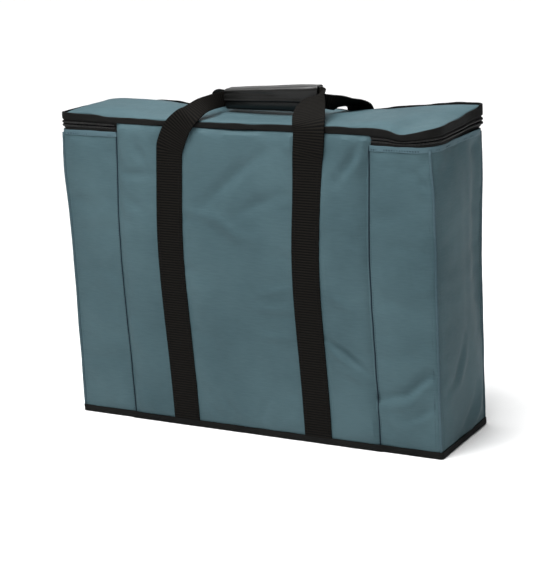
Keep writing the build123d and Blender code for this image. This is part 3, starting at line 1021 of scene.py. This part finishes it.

# %% [markdown]
# The wall cloth is turned over along the zip in a narrow hem. Its cloth is painted paler than the shell, a
# painted highlight along the hem, and it puckers where the thread pulls it.

# %% Build the hem
hem_low, hem_high = wall_top - 7 * MM, wall_top + 0.6 * MM
hem = band_piece(
    "wall_hem",
    outset=1.1 * MM,
    low=hem_low,
    high=hem_high,
    at_mouth=True,
    thickness=1.6 * MM,
    rows=5,
    wave_size=0.011,
    wave_depth=1.2 * MM,
    seed=5.0,
)
lift_edges(hem, hem_low, wall_top, 1.0 * MM, 3.0)
open_front(hem)
lay(hem, body_lie)
add_modifier(hem, "BEVEL", width=0.5 * MM, segments=2, limit_method="ANGLE")
# The hem's paler cloth is a painted highlight.
finish_piece(hem, hem_highlight_cloth, "case", "shell_fabric")

# %% [markdown]
# ## The zip
# A coil zip has two woven tapes, each with a spiral of nylon sewn along its edge. The spirals are made as
# one small ring, repeated along the plan by an array modifier and bent round it by a curve modifier.

# %% Build the tapes
lower_run = (wall_top - 5 * MM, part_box("zip_lower_tape")[1][2])
upper_run = (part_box("zip_upper_tape")[0][2], hinge_z + 2 * MM)
for level_name, run, body, seed in (("lower", lower_run, "case", 1.0), ("upper", upper_run, "lid", 1.5)):
    tape = band_piece(
        f"{level_name}_zip_tape",
        outset=0.3 * MM,
        low=run[0],
        high=run[1],
        at_mouth=True,
        thickness=1.2 * MM,
        rows=4,
        wave_size=0.03,
        wave_depth=0.3 * MM,
        seed=seed,
    )
    open_front(tape)
    lay(tape, mouth_lie)
    finish_piece(tape, zip_cloth, body, "zip_tape", f"zip_{level_name}_tape")


# %% Helpers for rings along the mouth
def mouth_track(height, outset):
    """A curve that follows the plan of the mouth at a height. The two roundest corners come first."""
    bpy.ops.object.select_all(action="DESELECT")
    bpy.ops.mesh.primitive_plane_add(size=1, location=(0, 0, height))
    track = bpy.context.object
    track.scale = ((half_x + outset) * 2, (half_y + outset) * 2, 1)
    settle_place(track)
    for rounder, radius in ((True, round_corner), (False, tight_corner)):

        def is_corner(co):
            past = max(abs(co.x) - half_x, abs(co.y) - half_y)
            return past > 0 and (co.x * co.y < 0) == rounder

        pick(track, "VERT", is_corner)
        bpy.ops.mesh.bevel(offset=radius + outset, segments=10, affect="VERTICES")
        done()
    pick(track, "FACE", lambda centre, normal: True)
    bpy.ops.mesh.delete(type="ONLY_FACE")
    done()
    bpy.ops.object.convert(target="CURVE")
    return track


def coil_piece(name, height, outset, body, slot_name, material, size, pitch, *nodes):
    """Small rings, repeated along the plan of the mouth. The zip's rings stand for CAD nodes and stand
    across its run; stitches stand for none and lie flat against the hem."""
    in_zip = bool(nodes)
    track = mouth_track(height, outset)
    bpy.ops.object.select_all(action="DESELECT")
    bpy.ops.mesh.primitive_torus_add(
        major_radius=size,
        minor_radius=size * 0.45,
        major_segments=8,
        minor_segments=5,
        rotation=(0, math.pi / 2, 0) if in_zip else (math.pi / 2, 0, 0),
    )
    ring = bpy.context.object
    ring.name = name
    settle_place(ring)
    add_modifier(
        ring,
        "ARRAY",
        fit_type="FIT_CURVE",
        curve=track,
        use_relative_offset=False,
        use_constant_offset=True,
        constant_offset_displace=(pitch, 0, 0),
    )
    add_modifier(ring, "CURVE", object=track, deform_axis="POS_X")
    bpy.data.objects.remove(track)
    open_front(ring, 3 * MM)
    lay(ring, mouth_lie if in_zip else body_lie)
    finish_piece(ring, material, body, slot_name, *nodes)


# %% [markdown]
# Each half of the zip's coil lies just inside its CAD node's edge, so that the two spirals meet. The same
# helper makes the row of small slate stitches that holds the hem.

# %% Build the coils and the hem's stitches
coil_low, coil_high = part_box("zip_lower_coil"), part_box("zip_upper_coil")
low_z, high_z = coil_low[1][2] - 1.3 * MM, coil_high[0][2] + 1.3 * MM
zip_look = ("zip_coil", coil_nylon, 1.0 * MM, 1.7 * MM)
coil_piece("lower_zip_coil", low_z, 1.0 * MM, "case", *zip_look, "zip_lower_coil")
coil_piece("upper_zip_coil", high_z, 1.0 * MM, "lid", *zip_look, "zip_upper_coil")
hem_look = ("shell_fabric", slate_thread, 0.8 * MM, 3.6 * MM)
coil_piece("hem_stitching", wall_top - 4.5 * MM, 0.9 * MM, "case", *hem_look)

# %% [markdown]
# ## The lid
# The lid is a shallow padded cushion. It swells most towards its ends and stays low under the grip,
# where the handles hold it down. Its lining and its folded edge binding are pieces of their own.

# %% Build the lid cushion
cushion_low = (lid_low[0], lid_low[1], hinge_z + 0.5 * MM)
lid = slab_piece("lid_cushion", cushion_low, tuple(lid_high), 10 * MM, 4, 7 * MM)
lay(lid, lambda points: hug_outline(points, *lid_high[:2], mouth_radius(points, -1 * MM)))
points, x, y, z = net_of(lid)
sewn = z < lid_high[2] - 1 * MM
lid_cap = 1.0 * MM + 5.0 * MM * smooth_step((-x - 0.13) / 0.08)
lid_cap += 4.0 * MM * smooth_step((x - 0.13) / 0.08)
rim = np.minimum(lid_high[0] - np.abs(x), lid_high[1] - np.abs(y))
blow_up(lid, sewn, pressure=3.0, slack=0.02, cap=lid_cap)

# %% [markdown]
# The grip stands a little right of the middle, and the cloth is hollow and quiet there. The left end
# sinks towards its seam.

# %% Shape the top of the lid
grip_x = 0.018
points, x, y, z = net_of(lid)
crown = smooth_step(rim / 0.02)
folds = 1.3 * MM * ripple(points * np.array([0.6, 1, 0]), 0.035, 6.0)
folds += 0.4 * MM * ripple(points, 0.014, 2.5)
quiet = smooth_step((np.abs(x - grip_x) - 0.09) / 0.05)
hollow = -4.0 * MM * np.exp(-(((x - grip_x) / 0.12) ** 2)) * smooth_step(rim / 0.05)
sunk = 3.5 * MM * smooth_step((-x - 0.245) / 0.035)
points[:, 2] += np.where(sewn, 0, crown * (folds * (0.25 + 0.75 * quiet) + hollow) - sunk)
put_points(lid, mouth_lie(points))
soft_edge = math.radians(60)
add_modifier(
    lid, "BEVEL", width=1.5 * MM, segments=2, limit_method="ANGLE", angle_limit=soft_edge
)
add_modifier(lid, "SUBSURF", levels=1, render_levels=1)
finish_piece(lid, shell_cloth, "lid", "shell_fabric", "lid_cover", "lid_foam")

# %% Build the lid's lining
under_low = (lid_low[0] + 1 * MM, lid_low[1] + 1 * MM, hinge_z - 0.4 * MM)
under_high = (lid_high[0] - 1 * MM, lid_high[1] - 1 * MM, hinge_z + 1.2 * MM)
under = slab_piece("lid_underside", under_low, under_high, 9 * MM, 4, 12 * MM)
points = points_of(under)
points = hug_outline(points, *under_high[:2], mouth_radius(points, -2 * MM))
x, y, z = points.T
rim = np.minimum(lid_high[0] - np.abs(x), lid_high[1] - np.abs(y))
sag = smooth_step((rim - 0.004) / 0.03) * (1.2 * MM + 0.9 * MM * ripple(points, 0.05, 3.3))
points[:, 2] -= np.where(z < hinge_z, sag, 0)
put_points(under, mouth_lie(points))
add_modifier(under, "SUBSURF", levels=1, render_levels=1)
finish_piece(under, lining_cloth, "lid", "lining_fabric", "lid_lining")

# %% [markdown]
# The binding wanders most of all the bands: its edges run unevenly, its top sinks at the front left, and
# at the back it rises past the cushion wherever that is low, so it shows behind the lid.

# %% Build the lid's binding
binding_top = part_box("lid_binding")[1][2]
binding = band_piece(
    "lid_edge_binding",
    outset=2 * MM,
    low=hinge_z - 0.4 * MM,
    high=binding_top + 1.2 * MM,
    at_mouth=True,
    thickness=3.4 * MM,
    rows=5,
    wave_size=0.03,
    wave_depth=0.6 * MM,
    seed=4.0,
)
lift_edges(binding, hinge_z, binding_top, 0.7 * MM, 9.0)
lift_edges(binding, hinge_z, binding_top, 0.8 * MM, 30.0)
points, x, y, z = net_of(binding)
points[:, 2] = np.where(z < hinge_z + 2 * MM, np.maximum(z, hinge_z - 0.6 * MM), z)
front_left = (y < 0.07) * smooth_step((0.22 - x) / 0.06)
points[:, 2] -= 2.0 * MM * front_left * smooth_step((z - hinge_z - 3 * MM) / (6 * MM))
peek = np.exp(-(((x + 0.2) / 0.03) ** 2)) + smooth_step((x - 0.13) / 0.05)
peek -= 0.6 * np.exp(-(((x - 0.03) / 0.08) ** 2))
points[:, 2] += 3 * MM * peek * (y > 0.06) * smooth_step((z - hinge_z - 2 * MM) / (6 * MM))
put_points(binding, mouth_lie(points))
add_modifier(binding, "BEVEL", width=1.0 * MM, segments=3, limit_method="ANGLE")
finish_piece(binding, binding_cloth, "lid", "binding_tape", "lid_binding")

# %% [markdown]
# The hinge is a strip of lining that runs up the inside of the middle panel, turns over its top and runs
# on under the lid. It is one cloth across the joint, so it is tied to neither the case nor the lid, and it
# keeps its level run.

# %% Build the hinge cloth
hinge_half = panel_half - 2 * MM
hinge = box_piece("hinge_cloth", (-hinge_half, -0.5, -0.5), (hinge_half, 0.5, -0.499))
drop_faces(hinge, lambda centre, normal: normal.z < 0.5)
cut_across(hinge, 1, evenly(-0.5, 0.5, 1 / 36))
cut_across(hinge, 0, evenly(-panel_half, panel_half, 14 * MM))
# The run of the cloth in section, as places along Y and up Z in millimetres.
run = [(-63.6, 408.0), (-63.6, 416.0), (-63.8, 423.4), (-65.2, 424.9), (-70.0, 425.1)]
run += [(-74.6, 425.2), (-75.8, 425.8), (-74.6, 426.4), (-70.0, 426.4), (-58.0, 426.0)]
run_y, run_z = np.array(run).T * MM
points = points_of(hinge)
along = (points[:, 1] + 0.5) * (len(run) - 1)
points[:, 2] = np.interp(along, range(len(run)), run_z)
points[:, 1] = np.interp(along, range(len(run)), run_y)
put_points(hinge, points)
add_modifier(hinge, "SOLIDIFY", thickness=0.6 * MM, offset=0.0)
finish_piece(hinge, lining_cloth, None, "lining_fabric", "hinge_facing")
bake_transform(hinge)

# %% [markdown]
# ## Corner seams
# Each upright corner is a felled seam: the edges of two panels rolled together and sewn flat. It reads as
# a narrow rounded welt with a row of stitches on each side of it.


# %% Build the corner welts
def welt_piece(name, x_side, y_side, node):
    """A slim roll of cloth up one corner, drawn in at the mouth with the wall."""
    bpy.ops.object.select_all(action="DESELECT")
    low, high = foot_high - 2 * MM, wall_top - 4 * MM
    middle = np.array([x_side * (half_x - 1.5 * MM), y_side * (half_y - 1.5 * MM)])
    bpy.ops.mesh.primitive_cylinder_add(
        vertices=16, radius=2.1 * MM, depth=high - low, location=(*middle, (low + high) / 2)
    )
    welt = bpy.context.object
    welt.name = name
    settle_place(welt)
    cut_across(welt, 2, evenly(low, high, 7 * MM))
    points = points_of(welt)
    offset = points[:, :2] - middle
    swell = 1 + 0.10 * ripple(points * np.array([0, 0, 1]), 0.012, x_side + 2 * y_side)
    pull = (wall_radius(points) - foot_radius) * (1 - math.sqrt(0.5))
    centre = middle - np.stack([x_side * pull, y_side * pull], axis=1)
    points[:, :2] = centre + offset * swell[:, None]
    points[:, :2] += 0.5 * MM * ripple(points * np.array([0, 0, 1]), 0.05, 5 + x_side)[:, None]
    put_points(welt, body_lie(points))
    # The welt's darker cloth is painted shade.
    finish_piece(welt, welt_painted_shade_cloth, "case", "shell_fabric", node)


for y_name, y_side in (("front", -1), ("back", 1)):
    for x_name, x_side in (("left", -1), ("right", 1)):
        welt_piece(f"{y_name}_{x_name}_welt", x_side, y_side, f"{y_name}_{x_name}_seam")

# %% [markdown]
# ## Handles
# Each handle is one length of webbing. It is stitched up one side of the case, leaves the stitching as a
# free strap, bends over the lid, folds narrow inside the grip and comes down the other side. It is laid
# from a flat strip along a list of places, each with the way that its width lies, and its unwrap keeps
# true metres, so the ribs stay square to the strap everywhere.


# %% Lay webbing along a route
stock_width = 38 * MM  # the width that the unwrap is laid out for


def follow(knots, samples):
    """A smooth run through the knots, evenly spaced along its length."""
    knots = np.array(knots, float)
    padded_knots = np.vstack([2 * knots[0] - knots[1], knots, 2 * knots[-1] - knots[-2]])
    fine = []
    for i in range(len(knots) - 1):
        a, b, c, d = padded_knots[i : i + 4]
        for t in np.linspace(0, 1, 24, endpoint=False):
            bend = (2 * a - 5 * b + 4 * c - d) * t**2 + (3 * b - a - 3 * c + d) * t**3
            fine.append(0.5 * (2 * b + (c - a) * t + bend))
    fine.append(knots[-1])
    fine = np.array(fine)
    steps = np.linalg.norm(np.diff(fine[:, :3], axis=0), axis=1)
    length = np.concatenate([[0], np.cumsum(steps)])
    at = np.linspace(0, length[-1], samples)
    return np.stack([np.interp(at, length, column) for column in fine.T], axis=1), length[-1]


def webbing_piece(name, knots):
    """A strip of webbing. Each knot is a place, the way across, a width and how far its edges cup."""
    samples = 420
    run, length = follow(knots, samples)
    bpy.ops.object.select_all(action="DESELECT")
    bpy.ops.mesh.primitive_grid_add(x_subdivisions=8, y_subdivisions=samples - 1, size=1)
    strap = bpy.context.object
    strap.name = name
    flat = points_of(strap)
    row = np.clip(np.rint((flat[:, 1] + 0.5) * (samples - 1)).astype(int), 0, samples - 1)
    across = run[:, 3:6] / np.linalg.norm(run[:, 3:6], axis=1, keepdims=True)
    ahead = np.gradient(run[:, :3], axis=0)
    ahead /= np.linalg.norm(ahead, axis=1, keepdims=True)
    across -= ahead * np.sum(across * ahead, axis=1, keepdims=True)
    across /= np.linalg.norm(across, axis=1, keepdims=True)
    face = np.cross(ahead, across)
    side = flat[:, 0:1]
    points = run[row, :3] + across[row] * side * run[row, 6:7]
    points += face[row] * (side**2 - 0.08) * run[row, 7:8]
    put_points(strap, body_lie(points, strap_slant=knots[0][1] < 0))
    layer = strap.data.uv_layers.active
    corners = np.empty(len(strap.data.loops), int)
    strap.data.loops.foreach_get("vertex_index", corners)
    unwrap = np.stack([flat[corners, 0] * stock_width, (flat[corners, 1] + 0.5) * length], axis=1)
    layer.data.foreach_set("uv", unwrap.astype(np.float32).ravel())
    add_modifier(strap, "SOLIDIFY", thickness=2 * MM, offset=0.0)
    edge_angle = math.radians(50)
    add_modifier(
        strap, "BEVEL", width=0.4 * MM, segments=2, limit_method="ANGLE", angle_limit=edge_angle
    )
    print(name, "is", round(length, 3), "m long")
    return finish_piece(strap, webbing, None, "webbing")


# %% [markdown]
# The front handle leans towards the grip as it leaves the stitching, most of all on the left. Inside the
# grip the webbing stands on edge, folded to about half its width.

# %% Lay the front handle
grip_low, grip_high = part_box("grip_flap")
stitch_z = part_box("front_strap_left")[1][2]
front_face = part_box("front_strap_left")[0][1] + 1 * MM
full, folded = 40 * MM, 20 * MM
bar_z = (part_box("grip_base")[0][2] + grip_high[2]) / 2
front_bar, back_bar = -3.4 * MM, 1.0 * MM
front_knots = [
    (-strap_x, front_face + 0.9 * MM, 7 * MM, 1, 0, 0, full, 0),
    (-strap_x, front_face, 30 * MM, 1, 0, 0, full, 0.2 * MM),
    (-strap_x, front_face, 0.2, 1, 0, 0, full, 0.2 * MM),
    (-strap_x, front_face, 0.33, 1, 0, 0, full, 0.2 * MM),
    (-0.1050, front_face - 0.4 * MM, stitch_z, 1, 0, -0.03, full, 0.4 * MM),
    (-0.1020, -0.0802, 0.4000, 0.99, 0, -0.15, 41 * MM, 0.8 * MM),
    (-0.0935, -0.0810, 0.4180, 0.97, 0, -0.24, 40 * MM, 1.2 * MM),
    (-0.0829, -0.0809, 0.4315, 0.94, 0, -0.34, 35 * MM, 1.6 * MM),
    (-0.0715, -0.0765, 0.4420, 0.88, -0.08, -0.46, 30 * MM, 1.8 * MM),
    (-0.0650, -0.0590, 0.4500, 0.80, -0.15, -0.58, 25 * MM, 1.6 * MM),
    (-0.0630, -0.0370, 0.4515, 0.60, -0.05, -0.80, 21.5 * MM, 1.0 * MM),
    (-0.0605, -0.0140, 0.4515, 0.30, 0, -0.95, 21 * MM, 0.5 * MM),
    (-0.0540, -0.0045, 0.4520, 0.03, 0, -1, folded, 0),
    (-0.0300, front_bar, 0.4530, 0, 0, -1, folded, 0),
    (0.018, front_bar, bar_z, 0, 0, -1, folded, 0),
    (0.060, front_bar, bar_z + 3 * MM, 0, 0, -1, 21 * MM, 0),
    (0.0800, -0.0040, 0.4600, -0.1, 0, -1, folded, 0),
    (0.0900, -0.0085, 0.4640, -0.5, 0, -0.9, 19 * MM, -1.0 * MM),
    (0.0930, -0.0165, 0.4650, -0.9, 0, -0.5, 21 * MM, -2.0 * MM),
    (0.0920, -0.0270, 0.4615, -1, 0, -0.2, 30 * MM, -2.4 * MM),
    (0.0930, -0.0400, 0.4560, -1, 0, -0.05, 38 * MM, -2.0 * MM),
    (0.0990, -0.0600, 0.4480, -1, 0, 0, 43 * MM, -1.6 * MM),
    (0.1070, -0.0775, 0.4370, -1, 0, 0, 44.5 * MM, -1.4 * MM),
    (0.1082, -0.0810, 0.4200, -1, 0, 0, 44.5 * MM, -1.2 * MM),
    (0.1066, -0.0800, 0.4000, -1, 0, 0, 44 * MM, -0.8 * MM),
    (0.1050, front_face - 0.4 * MM, stitch_z, -1, 0, 0, 43 * MM, -0.4 * MM),
    (strap_x, front_face, 0.32, -1, 0, 0, 40.5 * MM, -0.2 * MM),
    (strap_x, front_face, 0.2, -1, 0, 0, full, -0.2 * MM),
    (strap_x, front_face, 30 * MM, -1, 0, 0, full, -0.2 * MM),
    (strap_x, front_face + 0.9 * MM, 7 * MM, -1, 0, 0, full, 0),
]
front_handle = webbing_piece("front_handle_webbing", front_knots)
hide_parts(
    "front_strap_left",
    "front_strap_right",
    "front_riser_left",
    "front_riser_right",
    "front_handle_loop",
)
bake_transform(front_handle)

# %% [markdown]
# The back handle comes over the lid on its own line and lies flatter. Inside the grip it stands on edge
# right behind the front one.

# %% Lay the back handle
back_face = half_y + 1.4 * MM
back_knots = [
    (-strap_x, back_face, 7 * MM, 1, 0, 0, full, 0),
    (-strap_x, back_face, 30 * MM, 1, 0, 0, full, 0),
    (-strap_x, back_face, 0.2, 1, 0, 0, full, 0),
    (-strap_x, back_face, 0.34, 1, 0, 0, full, 0),
    (-strap_x, back_face + 1 * MM, stitch_z, 1, 0, 0, full, 0),
    (-0.1050, 0.0805, 0.408, 1, 0, 0, full, -0.8 * MM),
    (-0.1040, 0.0800, 0.424, 1, 0, 0, full, -1.2 * MM),
    (-0.1005, 0.0700, 0.4365, 1, 0, -0.05, 39 * MM, -1.6 * MM),
    (-0.0900, 0.0450, 0.4425, 1, 0, -0.45, 34 * MM, -1.6 * MM),
    (-0.0740, 0.0180, 0.4485, 0.5, 0, -1, 26 * MM, -1.0 * MM),
    (-0.0570, 0.0020, 0.4515, 0.05, 0, -1, 21 * MM, 0),
    (-0.0300, back_bar, 0.4525, 0, 0, -1, folded, 0),
    (0.018, back_bar, bar_z, 0, 0, -1, folded, 0),
    (0.060, back_bar, bar_z - 0.5 * MM, 0, 0, -1, folded, 0),
    (0.0840, 0.0010, 0.4530, 0, 0, -1, folded, 0),
    (0.0930, 0.0045, 0.4515, -0.15, 0, -1, 20 * MM, 0),
    (0.0985, 0.0180, 0.4480, -0.45, 0, -1, 22 * MM, 0.6 * MM),
    (0.1010, 0.0380, 0.4440, -0.85, 0, -0.5, 27 * MM, 1.0 * MM),
    (0.1030, 0.0580, 0.4405, -1, 0, -0.3, 33 * MM, 1.2 * MM),
    (0.1050, 0.0755, 0.4345, -1, 0, -0.1, 38 * MM, 1.4 * MM),
    (0.1055, 0.0805, 0.4240, -1, 0, 0, full, 1.2 * MM),
    (0.1055, 0.0805, 0.408, -1, 0, 0, full, 0.8 * MM),
    (strap_x, back_face + 1 * MM, stitch_z, -1, 0, 0, full, 0),
    (strap_x, back_face, 0.34, -1, 0, 0, full, 0),
    (strap_x, back_face, 0.2, -1, 0, 0, full, 0),
    (strap_x, back_face, 30 * MM, -1, 0, 0, full, 0),
    (strap_x, back_face, 7 * MM, -1, 0, 0, full, 0),
]
back_handle = webbing_piece("back_handle_webbing", back_knots)
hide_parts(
    "back_strap_left",
    "back_strap_right",
    "back_riser_left",
    "back_riser_right",
    "back_handle_loop",
)
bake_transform(back_handle)

# %% [markdown]
# ## The grip
# The grip is vinyl over foam in two parts: a lower front part sewn to the webbing and a flap that folds
# over the top and down the back. Each part is made from a copy of its own foam and vinyl shapes, fused by
# a voxel remesh and relaxed, so it gets the soft edges of stuffed vinyl and keeps its exact place.


# %% Helpers for the grip
def grip_part(name, *nodes):
    """Fuses copies of CAD nodes into one soft form."""
    bpy.ops.object.select_all(action="DESELECT")
    copies = []
    for node in nodes:
        copy = bpy.data.objects.new(name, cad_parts[node].data.copy())
        bpy.context.collection.objects.link(copy)
        copy.select_set(True)
        copies.append(copy)
    bpy.context.view_layer.objects.active = copies[0]
    bpy.ops.object.join()
    part = bpy.context.object
    pick(part, "VERT", lambda co: True)
    bpy.ops.mesh.remove_doubles(threshold=1e-5)
    done()
    add_modifier(part, "REMESH", mode="VOXEL", voxel_size=1.0 * MM)
    add_modifier(part, "SMOOTH", factor=0.5, iterations=6)
    return part


def grip_lie(points):
    """Squares the grip's top edges, tips its right end up, tapers it and slackens its lower edge."""
    x, y, z = points.T
    moved = points.copy()
    half_z = (grip_high[2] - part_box("grip_base")[0][2]) / 2
    centre_z = grip_high[2] - half_z
    core_y, core_z = 4 * MM, half_z - 9 * MM  # the rounded edges begin here
    away_y, away_z = np.abs(y) - core_y, np.abs(z - centre_z) - core_z
    rim = (away_y > 0) & (away_z > 0) & (np.hypot(away_y, away_z) > 7.6 * MM)
    grow = 1 + 0.16 * np.sin(2 * np.arctan2(away_z, away_y)) ** 2 * rim * (z > centre_z)
    squared_z = centre_z + np.sign(z - centre_z) * (core_z + away_z * grow)
    moved[:, 1] = np.where(rim, np.sign(y) * (core_y + away_y * grow), y)
    moved[:, 2] = np.where(rim, squared_z, z)
    share = (x - grip_low[0]) / (grip_high[0] - grip_low[0]) * 2 - 1
    height = (moved[:, 2] - centre_z + half_z) / (2 * half_z)
    taper = smooth_step((x - 0.062) / 0.029)
    moved[:, 0] -= 4 * MM * taper * smooth_step((x - 0.07) / 0.02)
    moved[:, 1] = moved[:, 1] * (1 + 0.06 * (1 - share**2)) * (1 - 0.28 * taper) - 1.5 * MM * taper
    moved[:, 2] += share * 4.5 * MM * height
    moved[:, 2] += 0.9 * MM * ripple(points * np.array([1, 0.2, 0]), 0.045, 2.0) * (1 - height)
    moved[:, 2] += 0.5 * MM * ripple(points, 0.03, 2.0) * height
    dent = np.exp(-(((z - 0.4625 + 1.5 * MM * np.sin(x * 45)) / 0.0022) ** 2)) * (y < -0.008)
    moved[:, 1] += 0.8 * MM * dent * smooth_step((0.05 - x) / 0.05)
    moved[:, 1] += 0.4 * MM * ripple(points, 0.025, 6.0)
    return moved


# %% [markdown]
# The flap is the top and the back. Its front lip stands out a little along the line where it closes.

# %% Build the flap
flap = grip_part("grip_flap_wrap", "grip_flap", "grip_flap_foam")
points = points_of(flap)
front_lip = np.exp(-(((points[:, 2] - 0.4525) / 0.002) ** 2)) * (points[:, 1] < -0.009)
points[:, 1] -= 0.9 * MM * front_lip
put_points(flap, grip_lie(points))
finish_piece(flap, grip_vinyl, "grip_flap", "grip_vinyl", "grip_flap", "grip_flap_foam")

# %% [markdown]
# The lower part is set back behind the flap's lip, so the closing line shows as a step.

# %% Build the lower part
lower = grip_part("grip_lower_wrap", "grip_base", "grip_base_foam")
points = points_of(lower)
points[:, 1] += np.where(points[:, 1] < -0.009, 1.5 * MM, 0)
put_points(lower, grip_lie(points))
finish_piece(lower, grip_vinyl, "front_handle", "grip_vinyl", "grip_base", "grip_base_foam")

# %% [markdown]
# The tongue, the hook and loop strips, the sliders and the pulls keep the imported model's own shapes. They
# only need their real materials.

# %% Dress the small CAD parts
dressed = {
    "grip_tongue": grip_vinyl,
    "grip_hook_strip": fuzzy_tape,
    "grip_loop_strip": fuzzy_tape,
    "zip_slider_left": slider_metal,
    "zip_slider_right": slider_metal,
    "zip_pull_left": slider_metal,
    "zip_pull_right": slider_metal,
}
for node, material in dressed.items():
    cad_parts[node].data.materials.clear()
    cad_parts[node].data.materials.append(material)
print("dressed:", list(dressed))

# %% [markdown]
# ## Stitching
# Rows of lockstitch hold the straps, the panel edges and the corner seams. One stitch is a small stretched
# ball, sunk halfway into the cloth, and an array modifier repeats it along each row.


# %% Helpers for stitching
def stitch_row(start, end, pitch, thick):
    """One row of stitches between two places."""
    start = Vector(start)
    way = Vector(end) - start
    count = max(2, int(way.length / pitch))
    step = way / count
    bpy.ops.object.select_all(action="DESELECT")
    bpy.ops.mesh.primitive_uv_sphere_add(
        segments=6, ring_count=4, radius=0.5, location=start + step / 2
    )
    stitch = bpy.context.object
    stitch.scale = (thick, thick, pitch * 0.74)
    stitch.rotation_euler = way.to_track_quat("Z", "Y").to_euler()
    settle_place(stitch)
    add_modifier(
        stitch,
        "ARRAY",
        count=count,
        use_relative_offset=False,
        use_constant_offset=True,
        constant_offset_displace=step,
    )
    return stitch


def sew(name, rows, pitch, thick, thread, slot_name, strap_slant=False):
    """Joins several rows into one piece of stitching on the case."""
    made = [stitch_row(a, b, pitch, thick) for a, b in rows]
    bpy.ops.object.select_all(action="DESELECT")
    for row in made:
        row.select_set(True)
    bpy.context.view_layer.objects.active = made[0]
    bpy.ops.object.join()
    piece = bpy.context.object
    piece.name = name
    put_points(piece, body_lie(points_of(piece), strap_slant=strap_slant))
    finish_piece(piece, thread, "case", slot_name)


# %% [markdown]
# Each strap has a row near either edge and two rows across it, below the place where it comes free.

# %% Sew the straps
row_offset = 15.5 * MM
strap_rows = []
for face_y in (front_face - 1.05 * MM, back_face + 1.05 * MM):
    for middle in (-strap_x, strap_x):
        left, right = middle - row_offset, middle + row_offset
        for x in (left, right):
            strap_rows.append(((x, face_y, 14 * MM), (x, face_y, stitch_z - 10 * MM)))
        for z in (stitch_z - 12 * MM, stitch_z - 20 * MM):
            strap_rows.append(((left, face_y, z), (right, face_y, z)))
sew("strap_stitching", strap_rows, 4 * MM, 1.1 * MM, black_thread, "webbing", strap_slant=True)

# %% [markdown]
# The seams beside the middle panel have one row each, and every corner has a row on both of its faces. The
# corner rows end where the corners begin to round.

# %% Sew the seams
row_low, corner_row_high = 12 * MM, 0.335
proud, inset = 0.1 * MM, 8.2 * MM
seam_rows = []
for side in (-1, 1):
    x, y = side * (panel_half + 3.2 * MM), -half_y - proud
    seam_rows.append(((x, y, row_low), (x, y, wall_top - 10 * MM)))
    for y_side in (-1, 1):
        on_face = (side * (half_x - inset), y_side * (half_y + proud))
        on_end = (side * (half_x + proud), y_side * (half_y - inset))
        for place in (on_face, on_end):
            seam_rows.append(((*place, row_low), (*place, corner_row_high)))
sew("seam_stitching", seam_rows, 3.4 * MM, 0.9 * MM, slate_thread, "shell_fabric")
